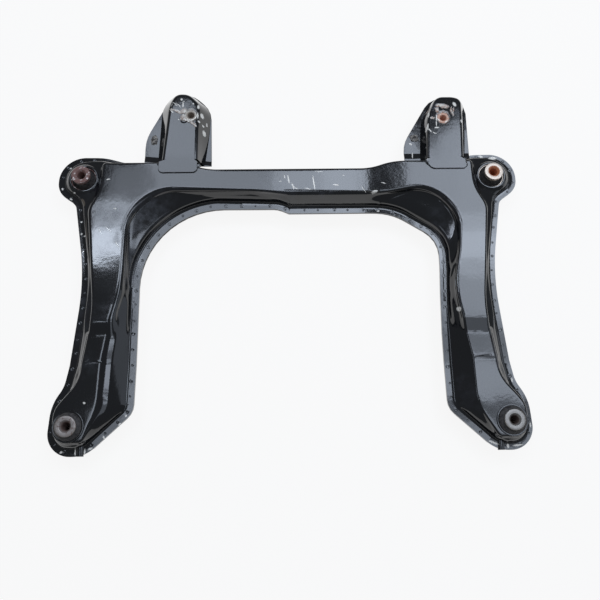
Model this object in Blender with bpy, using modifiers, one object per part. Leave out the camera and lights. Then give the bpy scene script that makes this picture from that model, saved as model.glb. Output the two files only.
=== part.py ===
"""Front subframe of a car: a U-shaped cradle pressed and welded from two steel shells.

The part lies as it would on a bench: +Z up, +Y to the two tongues at the front, +X to its right,
with the origin under the middle of its outer box, on the plane of the four bush sleeves' lower ends.
"""

import math
from collections import namedtuple

import bmesh
import bpy
from mathutils import Matrix, Vector

MM = 0.001

# Sheet metal
SHEET = 2.5 * MM
GAP = 0.3 * MM
FLANGE_WIDTH = 13.0 * MM
FRONT_FLANGE_WIDTH = 11.0 * MM
CREASE_ROUND = 4.0 * MM

# Heights: the flange seam above the floor, and the pressings above and below it
SEAM_HEIGHT = 38.0 * MM
CREST_RISE = 30.5 * MM
FOOT_RISE = 24.0 * MM
EAR_RISE = 12.0 * MM
RAMP_LENGTH = 50.0 * MM
LOWER_DEPTH = 22.0 * MM
LOWER_WALL_LEAN = 5.0 * MM

# The bead that stiffens the lower shell's floor
BEAD_HEIGHT = 6.0 * MM
BEAD_WIDTH = 14.0 * MM
BEAD_FROM_BAY = 55.0 * MM
BEAD_BEHIND_BUSHES = 17.0 * MM
BEAD_BEND = 90.0 * MM

# Drainage: a channel pressed into each foot's flange, and two holes in the lower shell's floor a side
CHANNEL_INBOARD = 15.0 * MM
CHANNEL_FROM_HOUSING = 13.0 * MM
CHANNEL_LENGTH = 12.0 * MM
CHANNEL_RADIUS = 6.0 * MM
CHANNEL_SIDES = 16
FOOT_DRAIN_DIAMETER = 16.0 * MM
FOOT_DRAIN_FROM_BAY = 53.5 * MM
FOOT_DRAIN_FROM_BUSH = 76.0 * MM
SHOULDER_DRAIN_DIAMETER = 10.0 * MM
SHOULDER_DRAIN_FROM_BAY = 77.5 * MM
SHOULDER_DRAIN_FROM_BUSH = 77.0 * MM

# The four bush axes, and the step across each leg
FRONT_TRACK = 754.0 * MM
TRACK_TAPER = 23.0 * MM
BUSH_PITCH = 448.0 * MM
REAR_BUSH_Y = -291.0 * MM
STEP_FROM_BUSH = 104.0 * MM

# The plan: the bay's edges from the rear bush axes, and the crossbar's front edge from the front ones
LEG_INSET = 97.0 * MM
BAY_RADIUS_RIGHT = 100.0 * MM
BAY_RADIUS_LEFT = 150.0 * MM
CROSSBAR_FRONT = 25.0 * MM
CROSSBAR_WAIST = 10.0 * MM

# Bushes: a housing tube welded into the shells, a pressed-in outer sleeve, rubber, an inner sleeve
HOUSING_DIAMETER = 52.0 * MM
HOUSING_WALL = 2.5 * MM
HOUSING_BELOW = 3.0 * MM
EAR_MARGIN = 12.0 * MM
PAD_MARGIN = 2.0 * MM
FRONT_RIM_STAND = 5.0 * MM
REAR_RIM_STAND = 2.0 * MM
OUTER_SLEEVE_WALL = 1.6 * MM
OUTER_SLEEVE_DROP = 4.0 * MM
FRONT_HEAD_STAND = 15.5 * MM
REAR_HEAD_STAND = 11.5 * MM
HEAD_DIAMETER = 34.0 * MM
HEAD_THICKNESS = 4.5 * MM
SLEEVE_DIAMETER = 22.0 * MM
SLEEVE_BORE = 14.0 * MM
BORE_CHAMFER = 1.5 * MM
NECK_LENGTH = 2.5 * MM
COLLAR_DIAMETER = 31.0 * MM
COLLAR_THICKNESS = 2.5 * MM

# Tongues: a pressed hat over a base plate, with a spacer tube round the bolt
TONGUE_BORE = 12.5 * MM
SPACER_DIAMETER = 22.0 * MM
TONGUE_CLEARANCE = 1.5 * MM
LEFT_BOLT_INBOARD = 196.0 * MM
LEFT_BOLT_FORWARD = 119.0 * MM
RIGHT_BOLT_INBOARD = 85.5 * MM
RIGHT_BOLT_FORWARD = 110.0 * MM

TURN_STEPS = 24
CORNER_STEPS = 3
CUTTER_REACH = 240.0 * MM

UPPER_FLANGE_Z = SEAM_HEIGHT + GAP / 2 + SHEET
LOWER_FLANGE_Z = SEAM_HEIGHT - GAP / 2 - SHEET
CREST_Z = UPPER_FLANGE_Z + CREST_RISE
FRONT_BUSH = Vector((FRONT_TRACK / 2, REAR_BUSH_Y + BUSH_PITCH))
REAR_BUSH = Vector(((FRONT_TRACK - TRACK_TAPER) / 2, REAR_BUSH_Y))
BAY_EDGE = REAR_BUSH.x - LEG_INSET
STEP_Y = REAR_BUSH_Y + STEP_FROM_BUSH
FRONT_WALL_FOOT = CROSSBAR_FRONT + SHEET
TONGUE_REAR = FRONT_WALL_FOOT + TONGUE_CLEARANCE
HOUSING_RADIUS = HOUSING_DIAMETER / 2
HOUSING_BOTTOM = LOWER_FLANGE_Z - LOWER_DEPTH - HOUSING_BELOW
FRONT_RIM_Z = UPPER_FLANGE_Z + EAR_RISE + FRONT_RIM_STAND
REAR_RIM_Z = UPPER_FLANGE_Z + FOOT_RISE + REAR_RIM_STAND

# A corner of the plan outline. edge and crease hold (x, y, reach) from the datum point, in
# millimetres: the flange's edge and the top face's crease, each rounded over its reach.
# arc and run count the steps round the corner and along the straight run after it.
Corner = namedtuple("Corner", "datum edge crease wall arc run")

# A side wall, in millimetres: the flange's width, the lower break as distance in from the wall's
# foot and height, and the upper break as distance out from the crease and height.
Wall = namedtuple("Wall", "flange low_in low_height high_out high_height")

Point = namedtuple("Point", "place inward")
Sample = namedtuple("Sample", "edge crease wall")


def mm(*sizes):
    return tuple(size / MM for size in sizes)


def half_outline(side):
    """The corners of one half, from the crossbar's inner middle round the foot to its outer middle."""
    middle = Vector((0.0, FRONT_BUSH.y))
    bay = Vector((BAY_EDGE, FRONT_BUSH.y))
    leg = Vector((BAY_EDGE, REAR_BUSH.y))
    front, waist, midway, step, ramp, housing, pad, flange, slim = mm(
        CROSSBAR_FRONT, CROSSBAR_WAIST, BUSH_PITCH / 2, STEP_FROM_BUSH, STEP_FROM_BUSH + RAMP_LENGTH,
        HOUSING_RADIUS, HOUSING_RADIUS + PAD_MARGIN, FLANGE_WIDTH, FRONT_FLANGE_WIDTH)
    ear = housing + EAR_MARGIN / MM + flange
    ledge = EAR_RISE / MM
    toe = slim + SHEET / MM
    inside = Wall(flange, 4.5, 13, 3.5, 24)
    round_side = Wall(flange, 4.5, 13, 5, 20)
    steep = Wall(flange, 1.5, 12, 1.2, 22)
    sloped = Wall(flange, 9, 18, 4, 22.5)
    tip = Wall(flange, 0.8, 10, 0.8, 16)
    outside = Wall(flange, 4, 10, 5, 17)
    lip = Wall(flange, 5, ledge, 6, ledge)
    upright = Wall(slim, 0.8, 12, 0.8, 22)
    if side > 0:
        reach = BAY_RADIUS_RIGHT / MM
        inner = [
            Corner(middle, (0, -66, 0), (0, -40, 0), inside, 0, 3),
            Corner(bay, (-118.5, -66, 20), (-103.5, -40, 25), inside, 2, 1),
            Corner(bay, (-78.5, -67.5, 0.45 * reach), (-12.5, -25.5, 0.38 * reach), round_side, 5, 1),
            Corner(bay, (4, -120, 0.3 * reach), (37, -73.5, 0.34 * reach), round_side, 4, 1),
            Corner(bay, (3.5, -172, 10), (35, -142.5, 30), inside, 2, 1),
            Corner(leg, (0.5, midway + 2, 15), (17, midway + 9, 45), steep, 3, 1)]
    else:
        reach = BAY_RADIUS_LEFT / MM
        inner = [
            Corner(middle, (0, -66, 0), (0, -40, 0), inside, 0, 1),
            Corner(middle, (20, -57, 8), (60, -34, 25), inside, 2, 3),
            Corner(bay, (0.5, -56, reach), (19.5, -29, 0.53 * reach), inside, 13, 1),
            Corner(leg, (-1, midway + 2, 15), (21, midway + 9, 45), steep, 3, 1)]
    return inner + [
        Corner(leg, (-2, ramp, 0), (32.5, ramp, 0), sloped, 0, 1),
        Corner(leg, (-2.5, step, 0), (41.5, step, 0), sloped, 0, 2),
        Corner(leg, (-2, 23, 14), (42.5, 29, 22), sloped, 3, 2),
        Corner(REAR_BUSH, (-22.5, -pad - flange - 6.5, 20), (4.5 - pad, 1.5 - pad, 6), tip, 2, 1),
        Corner(REAR_BUSH, (pad + flange + 3, -pad - flange - 6.5, 42), (pad, 1 - pad, pad - 1), tip, 4, 1),
        Corner(REAR_BUSH, (pad + flange - 1.5, 38, 22), (pad - 1.5, 27, 12), outside, 2, 1),
        Corner(REAR_BUSH, (20.5, 67, 12), (-11.5, 74, 18), outside, 2, 1),
        Corner(REAR_BUSH, (14, step, 0), (-15, step, 0), outside, 0, 1),
        Corner(REAR_BUSH, (10, ramp, 0), (-22, ramp, 0), outside, 0, 1),
        Corner(REAR_BUSH, (1.5, midway + 34.5, 60), (-27, midway - 33, 60), outside, 3, 1),
        Corner(FRONT_BUSH, (15.5, -45, 8), (-17, -66, 12), lip, 2, 1),
        Corner(FRONT_BUSH, (ear, -20, 19), (-11 - housing, -27, 18), lip, 2, 1),
        Corner(FRONT_BUSH, (ear, ear, ear - 3), (-12 - housing, front + 1, 7), lip, 5, 1),
        Corner(FRONT_BUSH, (-32, ear - 1, 15), (-62, front, 5), upright, 1, 1),
        Corner(FRONT_BUSH, (-72, front + toe, 12), (-107, front, 10), upright, 1, 1),
        Corner(FRONT_BUSH, (-177, front + toe, 25), (-185, front, 25), upright, 1, 1),
        Corner(FRONT_BUSH, (-227, waist + toe, 20), (-227, waist, 20), upright, 1, 2),
        Corner(middle, (0, waist + toe, 0), (0, waist, 0), upright, 0, 0)]


def rounded_path(corners, counts):
    """Samples a polygon whose corners (place, reach) are rounded by arcs.

    counts holds the steps round each corner and those of the run after it. Paths with the same
    counts have the same number of samples, so two unlike outlines can be lofted into a wall.
    Each sample is a Point: its place and the unit vector square to the path, to its left.
    """
    last = len(corners) - 1
    arcs = []
    for index, (place, reach) in enumerate(corners):
        before, before_reach = corners[max(index - 1, 0)]
        after, after_reach = corners[min(index + 1, last)]
        arriving = place - before if index > 0 else after - place
        leaving = after - place if index < last else arriving
        fits = min(arriving.length / (reach + before_reach + MM),
                   leaving.length / (reach + after_reach + MM), 1.0)
        arriving, leaving = arriving.normalized(), leaving.normalized()
        weight = math.cos(arriving.angle(leaving) / 2)
        arcs.append((place - arriving * reach * fits, place, place + leaving * reach * fits,
                     weight, arriving, leaving))
    path = []

    def add(place, along):
        path.append(Point(place, Vector((-along.y, along.x)).normalized()))

    for index, (arc_steps, run_steps) in enumerate(counts):
        start, corner, end, weight, arriving, leaving = arcs[index]
        for step in range(arc_steps + 1):
            t = step / arc_steps if arc_steps else 0.5
            shares = ((1 - t) ** 2, 2 * weight * t * (1 - t), t ** 2)
            place = (start * shares[0] + corner * shares[1] + end * shares[2]) / sum(shares)
            add(place, arriving.lerp(leaving, t))
        for step in range(1, run_steps):
            add(end.lerp(arcs[index + 1][0], step / run_steps), leaving)
    return path


def blended_walls(corners):
    """The side wall at every sample: held round a corner, blended along a run."""
    walls = []
    for index, corner in enumerate(corners):
        walls += [corner.wall] * (corner.arc + 1)
        for step in range(1, corner.run):
            t = step / corner.run
            following = corners[index + 1].wall
            walls.append(Wall(*(a + (b - a) * t for a, b in zip(corner.wall, following))))
    return walls


def half_samples(side):
    corners = half_outline(side)
    counts = [(corner.arc, corner.run) for corner in corners]

    def line(sizes):
        places = [(Vector((x, y)) * MM + corner.datum, reach * MM)
                  for corner, (x, y, reach) in zip(corners, sizes)]
        return [Point(Vector((place.x * side, place.y)), Vector((inward.x * side, inward.y)))
                for place, inward in rounded_path(places, counts)]

    edges = line([corner.edge for corner in corners])
    creases = line([corner.crease for corner in corners])
    return [Sample(*parts) for parts in zip(edges, creases, blended_walls(corners))]


def ring_samples():
    """The whole closed outline, with the metal on its left, starting at the bay's middle."""
    return half_samples(1) + half_samples(-1)[-2:0:-1]


def wall_foot(sample):
    return sample.edge.place + sample.edge.inward * sample.wall.flange * MM


def rise_at(y):
    """The top face is level on the crossbar and ramps down to the lower foot pads."""
    share = min(max((y - STEP_Y) / RAMP_LENGTH, 0.0), 1.0)
    return FOOT_RISE + (CREST_RISE - FOOT_RISE) * share


def lift(place, height):
    return Vector((place.x, place.y, height))


def rounded_crease(wall_point, crease, inward):
    """Three levels that round a crease: on the wall, at the bend, and in on the top face."""
    inner = crease + lift(inward, 0.0) * CREASE_ROUND
    bend = wall_point.lerp(inner, 0.5).lerp(crease, 0.5)
    return wall_point, bend, inner


def upper_rings(samples):
    """Closed loops of the upper shell's outer face, from the flange's edge to the top face."""
    rings = [[] for _ in range(7)]
    for sample in samples:
        wall = sample.wall
        foot = wall_foot(sample)
        rise = rise_at(sample.crease.place.y)
        across = sample.crease.place - foot
        run = max(across.length, MM)
        low_height = min(wall.low_height * MM, 0.6 * rise)
        high_height = min(wall.high_height * MM, rise - 2 * MM)
        crease = lift(sample.crease.place, UPPER_FLANGE_Z + rise)
        low = lift(foot + across * min(wall.low_in * MM / run, 0.45), UPPER_FLANGE_Z + low_height)
        high = lift(foot + across * max(1 - wall.high_out * MM / run, 0.55), UPPER_FLANGE_Z + high_height)
        share = max(1 - CREASE_ROUND / (crease - high).length, 0.4)
        levels = (lift(sample.edge.place, UPPER_FLANGE_Z), lift(foot, UPPER_FLANGE_Z), low, high,
                  *rounded_crease(high.lerp(crease, share), crease, sample.crease.inward))
        for ring, level in zip(rings, levels):
            ring.append(level)
    return rings


def lower_rings(samples):
    """Closed loops of the lower shell's outer face, a shallow tray under the same outline."""
    rings = [[] for _ in range(4)]
    bottom = LOWER_FLANGE_Z - LOWER_DEPTH
    for sample in samples:
        foot = wall_foot(sample)
        inward = sample.edge.inward
        above = lift(foot, LOWER_FLANGE_Z)
        corner = lift(foot + inward * LOWER_WALL_LEAN, bottom)
        shoulder, _, inner = rounded_crease(above.lerp(corner, 0.8), corner, inward)
        for ring, level in zip(rings, (lift(sample.edge.place, LOWER_FLANGE_Z), above, shoulder, inner)):
            ring.append(level)
    return rings


def sample_index(corners, wanted):
    """Counts the samples that come before a corner of the outline."""
    return sum(corner.arc + corner.run for corner in corners[:wanted]) + corners[wanted].arc // 2


def ramp_samples():
    """Samples on the right leg where the ramp's ends meet the outline, in the order of the ring."""
    corners = half_outline(1)
    ends = [index for index, corner in enumerate(corners)
            if corner.arc == 0 and corner.datum.y == REAR_BUSH.y]
    return [sample_index(corners, index) for index in ends]


def lofted(working, rings):
    """Makes walls between neighbouring closed loops, and returns the last loop."""
    loops = [[working.verts.new(place) for place in ring] for ring in rings]
    count = len(loops[0])
    for outer, inner in zip(loops, loops[1:]):
        for index in range(count):
            after = (index + 1) % count
            working.faces.new((outer[index], outer[after], inner[after], inner[index]))
    return loops[-1]


def upper_mesh(samples):
    """The upper pressing: walls, then its level top, the two ramps and the two foot pads."""
    shell = bmesh.new()
    loop = lofted(shell, upper_rings(samples))
    count = len(loop)
    high_in, low_in, low_out, high_out = ramp_samples()
    for side in (1, -1):
        def along(first, last):
            stops = (first, last) if side > 0 else (count - last, count - first)
            return loop[stops[0]:stops[1] + 1]
        shell.faces.new(along(low_in, low_out))
        first, second = along(high_in, low_in), along(low_out, high_out)
        shell.faces.new(first + second if side > 0 else second + first)
    shell.faces.new(loop[high_out:count - high_out + 1] + loop[count - high_in:] + loop[:high_in + 1])
    return finished_mesh("upper_shell", shell)


def bead_ring(half_width, height):
    """A closed loop round the lower shell's bead, which runs down one leg and up the other."""
    leg_x = BAY_EDGE + BEAD_FROM_BAY
    end_y = STEP_Y + BEAD_WIDTH - half_width
    bar_y = FRONT_BUSH.y - BEAD_BEHIND_BUSHES
    corners = [(-leg_x, end_y, 0.0), (-leg_x, bar_y, BEAD_BEND), (leg_x, bar_y, BEAD_BEND),
               (leg_x, end_y, 0.0)]
    path = rounded_path([(Vector((x, y)), reach) for x, y, reach in corners],
                        ((0, 1), (8, 1), (8, 1), (0, 0)))
    inner = [lift(point.place - point.inward * half_width, height) for point in path]
    outer = [lift(point.place + point.inward * half_width, height) for point in path]
    return inner + outer[::-1]


def lower_mesh(samples):
    """The lower pressing: a tray whose floor is stiffened by a bead pushed up into it."""
    shell = bmesh.new()
    rim = lofted(shell, lower_rings(samples))
    bottom = rim[0].co.z
    rings = [bead_ring(BEAD_WIDTH / 2 + BEAD_HEIGHT / 2, bottom), bead_ring(BEAD_WIDTH / 2, bottom + BEAD_HEIGHT)]
    loops = [[shell.verts.new(place) for place in ring] for ring in rings]
    sides = [shell.edges.new((loop[index - 1], loop[index])) for loop in loops for index in range(len(loop))]
    bmesh.ops.bridge_loops(shell, edges=sides)
    shell.faces.new(loops[1])
    floor = [edge for edge in shell.edges if edge.is_boundary and edge.verts[0].co.z < bottom + GAP]
    bmesh.ops.triangle_fill(shell, use_beauty=True, edges=floor, normal=(0.0, 0.0, -1.0))
    bmesh.ops.recalc_face_normals(shell, faces=shell.faces)
    if sum(face.normal.z for face in shell.faces) > 0:
        bmesh.ops.reverse_faces(shell, faces=shell.faces)
    return finished_mesh("lower_shell", shell)


def finished_mesh(name, working):
    mesh = bpy.data.meshes.new(name)
    working.to_mesh(mesh)
    working.free()
    return mesh


def collection(name):
    made = bpy.data.collections.new(name)
    bpy.context.scene.collection.children.link(made)
    return made


def finish(name, hex_colour, roughness, metallic):
    material = bpy.data.materials.new(name)
    material.use_nodes = True
    shader = material.node_tree.nodes["Principled BSDF"]
    red, green, blue = (level / 255 for level in hex_colour.to_bytes(3, "big"))
    shader.inputs["Base Color"].default_value = (red ** 2.2, green ** 2.2, blue ** 2.2, 1.0)
    shader.inputs["Roughness"].default_value = roughness
    shader.inputs["Metallic"].default_value = metallic
    return material


def part(name, data, material, place=(0.0, 0.0, 0.0)):
    made = bpy.data.objects.new(name, data)
    made.location = place
    data.materials.append(material)
    PARTS.objects.link(made)
    return made


def tool(name, working, place):
    """A hidden shape that a Boolean modifier adds to a sheet or takes away from it."""
    made = bpy.data.objects.new(name, finished_mesh(name, working))
    made.location = place
    made.hide_render = True
    made.display_type = "WIRE"
    CUTTERS.objects.link(made)
    return made


def drill(name, radius, low, high, centre):
    """An upright round cutter between two heights."""
    drum = bmesh.new()
    bmesh.ops.create_cone(drum, cap_ends=True, segments=TURN_STEPS, radius1=radius, radius2=radius,
                          depth=high - low)
    return tool(name, drum, (centre.x, centre.y, (low + high) / 2))


def cut_drum(name, radius, length, place, floor):
    """The part of a drum, lying along Y, that is above floor, a height from the drum's axis."""
    drum = bmesh.new()
    bmesh.ops.create_cone(drum, cap_ends=True, segments=CHANNEL_SIDES, radius1=radius, radius2=radius,
                          depth=length, matrix=Matrix.Rotation(math.pi / 2, 4, "X"))
    cut = bmesh.ops.bisect_plane(drum, geom=[*drum.verts, *drum.edges, *drum.faces],
                                 plane_co=(0.0, 0.0, floor), plane_no=(0.0, 0.0, 1.0),
                                 clear_inner=True)
    rim = [item for item in cut["geom_cut"] if isinstance(item, bmesh.types.BMEdge)]
    bmesh.ops.edgeloop_fill(drum, edges=rim)
    return tool(name, drum, place)


def combine(target, shape, operation):
    boolean = target.modifiers.new(shape.name, "BOOLEAN")
    boolean.operation = operation
    boolean.solver = "EXACT"
    boolean.object = shape


def thicken(target):
    wall = target.modifiers.new("sheet", "SOLIDIFY")
    wall.thickness = SHEET
    wall.offset = -1.0
    wall.use_even_offset = True
    wall.use_quality_normals = True


def turned(name, profile, material, centre):
    """A ring turned from a closed profile of (radius, height), down its outer side first."""
    ring = bmesh.new()
    points = [ring.verts.new((radius, 0.0, height)) for radius, height in profile]
    for start, end in zip(points, points[1:] + points[:1]):
        ring.edges.new((start, end))
    made = part(name, finished_mesh(name, ring), material, (centre.x, centre.y, 0.0))
    screw = made.modifiers.new("turn", "SCREW")
    screw.steps = TURN_STEPS
    screw.render_steps = TURN_STEPS
    screw.use_merge_vertices = True
    screw.merge_threshold = 0.00001
    return made


def build_shells(samples):
    upper = part("upper_shell", upper_mesh(samples), BLACK_PAINT)
    lower = part("lower_shell", lower_mesh(samples), BLACK_PAINT)
    for shell in (upper, lower):
        thicken(shell)
    for name, centre in BUSH_CENTRES.items():
        seat = drill(name + "_seat", HOUSING_RADIUS + GAP, 0.0, CREST_Z + SHEET, centre)
        combine(upper, seat, "DIFFERENCE")
        combine(lower, seat, "DIFFERENCE")
    for side, hand in ((-1, "left"), (1, "right")):
        place = ((REAR_BUSH.x - CHANNEL_INBOARD) * side,
                 REAR_BUSH.y - HOUSING_RADIUS - CHANNEL_FROM_HOUSING, UPPER_FLANGE_Z - SHEET)
        combine(upper, cut_drum(hand + "_channel", CHANNEL_RADIUS, CHANNEL_LENGTH, place, SHEET / 2),
                "UNION")
        combine(upper, cut_drum(hand + "_passage", CHANNEL_RADIUS - SHEET, 2 * CHANNEL_LENGTH, place,
                                -SHEET / 2), "DIFFERENCE")
        foot = Vector(((BAY_EDGE + FOOT_DRAIN_FROM_BAY) * side, REAR_BUSH.y + FOOT_DRAIN_FROM_BUSH))
        shoulder = Vector(((BAY_EDGE + SHOULDER_DRAIN_FROM_BAY) * side,
                           FRONT_BUSH.y - SHOULDER_DRAIN_FROM_BUSH))
        combine(lower, drill(hand + "_foot_drain", FOOT_DRAIN_DIAMETER / 2, 0.0, LOWER_FLANGE_Z, foot),
                "DIFFERENCE")
        combine(lower, drill(hand + "_shoulder_drain", SHOULDER_DRAIN_DIAMETER / 2, 0.0, LOWER_FLANGE_Z,
                             shoulder), "DIFFERENCE")


def build_bush(name, centre, rim, head_stand, collared):
    """The four pieces round one bolt, each a turned ring, from the outside in."""
    bore = HOUSING_RADIUS - HOUSING_WALL
    turned(name + "_housing", [(HOUSING_RADIUS, rim), (HOUSING_RADIUS, HOUSING_BOTTOM),
                               (bore, HOUSING_BOTTOM), (bore, rim)], BLACK_PAINT, centre)
    outer = bore - GAP
    inner = outer - OUTER_SLEEVE_WALL
    top = rim - OUTER_SLEEVE_DROP
    turned(name + "_outer_sleeve", [(outer, top), (outer, HOUSING_BOTTOM), (inner, HOUSING_BOTTOM),
                                    (inner, top)], BARE_STEEL, centre)
    head_top = rim + head_stand
    head_under = head_top - HEAD_THICKNESS
    head = HEAD_DIAMETER / 2
    body = SLEEVE_DIAMETER / 2
    hole = SLEEVE_BORE / 2
    widened = hole + BORE_CHAMFER
    rubber = inner - GAP
    bottom = HOUSING_BOTTOM + GAP
    seat = body + GAP
    if collared:
        collar = COLLAR_DIAMETER / 2
        collar_top = head_under - NECK_LENGTH
        collar_under = collar_top - COLLAR_THICKNESS
        neck = [(body + 2 * MM, head_under), (body + 2 * MM, collar_top), (collar, collar_top),
                (collar, collar_under), (body, collar_under)]
        block = [(collar - MM, collar_under - GAP), (rubber - 2 * MM, top - MM), (rubber, top - 3 * MM),
                 (rubber, bottom), (seat, bottom), (seat, collar_under - GAP)]
    else:
        lip = bore - GAP
        neck = [(body, head_under)]
        block = [(head - 0.5 * MM, head_under - GAP), (lip - 2 * MM, rim + 3 * MM), (lip, rim + MM),
                 (lip, top + GAP), (rubber, top + GAP), (rubber, bottom), (seat, bottom),
                 (seat, head_under - GAP)]
    turned(name + "_rubber", block, RUBBER, centre)
    turned(name + "_inner_sleeve", [
        (head, head_top), (head, head_under), *neck,
        (body, HEAD_THICKNESS), (head - MM, HEAD_THICKNESS), (head - MM, 0.0), (hole, 0.0),
        (hole, head_top - BORE_CHAMFER), (widened, head_top)], BARE_STEEL, centre)


# A tongue's outlines, as (x, y, reach) in millimetres from its bolt. The first and last corner of
# plate, foot and crease, and all of lap, are measured in y from the line behind the tongue instead.
# foot and crease run round the hat from its left rear corner to its right one, corner by corner,
# and lap runs back round the tab that laps onto the crossbar.
Tongue = namedtuple("Tongue", "name bolt plate foot crease lap")

TONGUES = (
    Tongue("left", Vector((LEFT_BOLT_INBOARD - FRONT_BUSH.x, FRONT_BUSH.y + LEFT_BOLT_FORWARD)),
           ((-89, 0, 0), (-89, -32, 18), (-42, 62.5, 16), (-2, 62.5, 16), (34, 29, 20), (37, 0, 0)),
           ((-64, 0, 0), (-60, 33, 16), (-40, 61, 12), (-3, 61, 15), (33.5, 27.5, 18), (32, -19, 20),
            (24, 0, 0)),
           ((-49, 0, 0), (-40, 21, 14), (-29, 45, 10), (-6, 45, 10), (15, 23, 12), (13, -19, 10),
            (14, 0, 0)),
           ((14, -5, 0), (14, -26, 8), (-56, -26, 8), (-55, -5, 0))),
    Tongue("right", Vector((FRONT_BUSH.x - RIGHT_BOLT_INBOARD, FRONT_BUSH.y + RIGHT_BOLT_FORWARD)),
           ((-72, 0, 0), (-72, -37, 18), (-14.5, 60.5, 22), (54, 60.5, 33), (52, 12, 0)),
           ((-43, 0, 0), (-36, 8, 18), (-10, 59, 18), (26, 59, 8), (50, 58, 20), (48, -10, 20),
            (43, 13, 0)),
           ((-35, 0, 0), (-29, 2, 12), (-10, 45, 12), (20, 45, 8), (36, 40, 14), (35, -10, 15),
            (31, 1, 0)),
           ((34, -5, 0), (36, -22, 7), (-29, -22, 8), (-38, -5, 0))))


def tongue_line(tongue, corners, behind=()):
    """Samples one outline. behind lists the corners that are measured from the line behind."""
    rear = Vector((tongue.bolt.x, FRONT_BUSH.y + TONGUE_REAR))
    steps = [(0, 1)] + [(CORNER_STEPS, 1)] * (len(corners) - 2) + [(0, 0)]
    places = []
    for index, (x, y, reach) in enumerate(corners):
        datum = rear if index in (0, len(corners) - 1) or index in behind else tongue.bolt
        places.append((Vector((x, y)) * MM + datum, reach * MM))
    return rounded_path(places, steps)


def hat_mesh(tongue, foot_z, top_z):
    """The hat's outer face: walls lofted between two outlines, and a flat top with its lap tab."""
    feet = tongue_line(tongue, tongue.foot)
    creases = tongue_line(tongue, tongue.crease)
    hat = bmesh.new()
    loops = [[], [], [], []]
    for foot, crease in zip(feet, creases):
        below = lift(foot.place, foot_z)
        corner = lift(crease.place, top_z)
        skirt = below + (below - corner) * (SHEET / (top_z - foot_z))
        shoulder = below.lerp(corner, 1 - CREASE_ROUND / (top_z - foot_z))
        for loop, level in zip(loops, (skirt, *rounded_crease(shoulder, corner, -crease.inward))):
            loop.append(hat.verts.new(level))
    for outer, inner in zip(loops, loops[1:]):
        for index in range(len(outer) - 1):
            hat.faces.new((outer[index], inner[index], inner[index + 1], outer[index + 1]))
    tab = [hat.verts.new(lift(point.place, top_z))
           for point in tongue_line(tongue, tongue.lap, behind=(1, 2))]
    hat.faces.new((loops[3] + tab)[::-1])
    return finished_mesh(tongue.name + "_tongue_hat", hat)


def plate_mesh(name, outline, hole_centre, hole_radius):
    """A flat plate's face: the outline filled, with a round hole left open."""
    plate = bmesh.new()
    rim = [plate.verts.new(lift(point.place, 0.0)) for point in outline]
    sides = [plate.edges.new((rim[index - 1], rim[index])) for index in range(len(rim))]
    bore = bmesh.ops.create_circle(plate, segments=TURN_STEPS, radius=hole_radius)["verts"]
    bmesh.ops.translate(plate, verts=bore, vec=lift(hole_centre, 0.0))
    bmesh.ops.triangle_fill(plate, use_beauty=True, edges=plate.edges, normal=(0.0, 0.0, 1.0))
    return finished_mesh(name, plate)


def build_tongue(tongue):
    bolt = tongue.bolt
    plate_z = UPPER_FLANGE_Z + GAP
    plate_top = plate_z + SHEET
    top_z = CREST_Z + GAP + SHEET
    outline = tongue_line(tongue, tongue.plate)
    plate_name = tongue.name + "_tongue_plate"
    plate = part(plate_name, plate_mesh(plate_name, outline, bolt, TONGUE_BORE / 2), BLACK_PAINT,
                 (0.0, 0.0, plate_top))
    thicken(plate)
    hat = part(tongue.name + "_tongue_hat", hat_mesh(tongue, plate_top + GAP, top_z), BLACK_PAINT)
    thicken(hat)
    floor = drill(tongue.name + "_hat_floor", CUTTER_REACH, plate_z - SHEET, plate_top + GAP, bolt)
    combine(hat, floor, "DIFFERENCE")
    hole = drill(tongue.name + "_hat_hole", SPACER_DIAMETER / 2 + GAP, plate_top, top_z + SHEET, bolt)
    combine(hat, hole, "DIFFERENCE")
    outer, inner = SPACER_DIAMETER / 2, TONGUE_BORE / 2
    turned(tongue.name + "_tongue_spacer", [(outer, top_z), (outer, plate_top + GAP),
                                            (inner, plate_top + GAP), (inner, top_z)], BARE_STEEL, bolt)


for old in list(bpy.data.objects):
    bpy.data.objects.remove(old, do_unlink=True)

PARTS = collection("subframe")
CUTTERS = collection("subframe_cutters")
BLACK_PAINT = finish("black_paint", 0x1B1C20, 0.22, 0.0)
BARE_STEEL = finish("bare_steel", 0xA8A29C, 0.4, 1.0)
RUBBER = finish("rubber", 0x39393A, 0.7, 0.0)

BUSH_CENTRES = {
    "front_left": Vector((-FRONT_BUSH.x, FRONT_BUSH.y)),
    "front_right": FRONT_BUSH,
    "rear_left": Vector((-REAR_BUSH.x, REAR_BUSH.y)),
    "rear_right": REAR_BUSH}

build_shells(ring_samples())
for bush_name, bush_centre in BUSH_CENTRES.items():
    if bush_name.startswith("front"):
        build_bush(bush_name, bush_centre, FRONT_RIM_Z, FRONT_HEAD_STAND, True)
    else:
        build_bush(bush_name, bush_centre, REAR_RIM_Z, REAR_HEAD_STAND, False)
for each_tongue in TONGUES:
    build_tongue(each_tongue)
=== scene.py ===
# %% [markdown]
# # Front subframe of a car
#
# A subframe is the cradle under the front of a car. Two thin steel shells are pressed, laid rim on
# rim and welded along their flanges, so the pair is a stiff hollow U. Four rubber bushes in its
# corners carry it, and two tongues reach forward.
#
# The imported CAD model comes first. It fixes every size, and each finer piece below is built over
# the node that it replaces.

# %% Load the frame
import math
import random
from collections import namedtuple

import bmesh
import bpy
from mathutils import Matrix, Vector, noise


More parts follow.
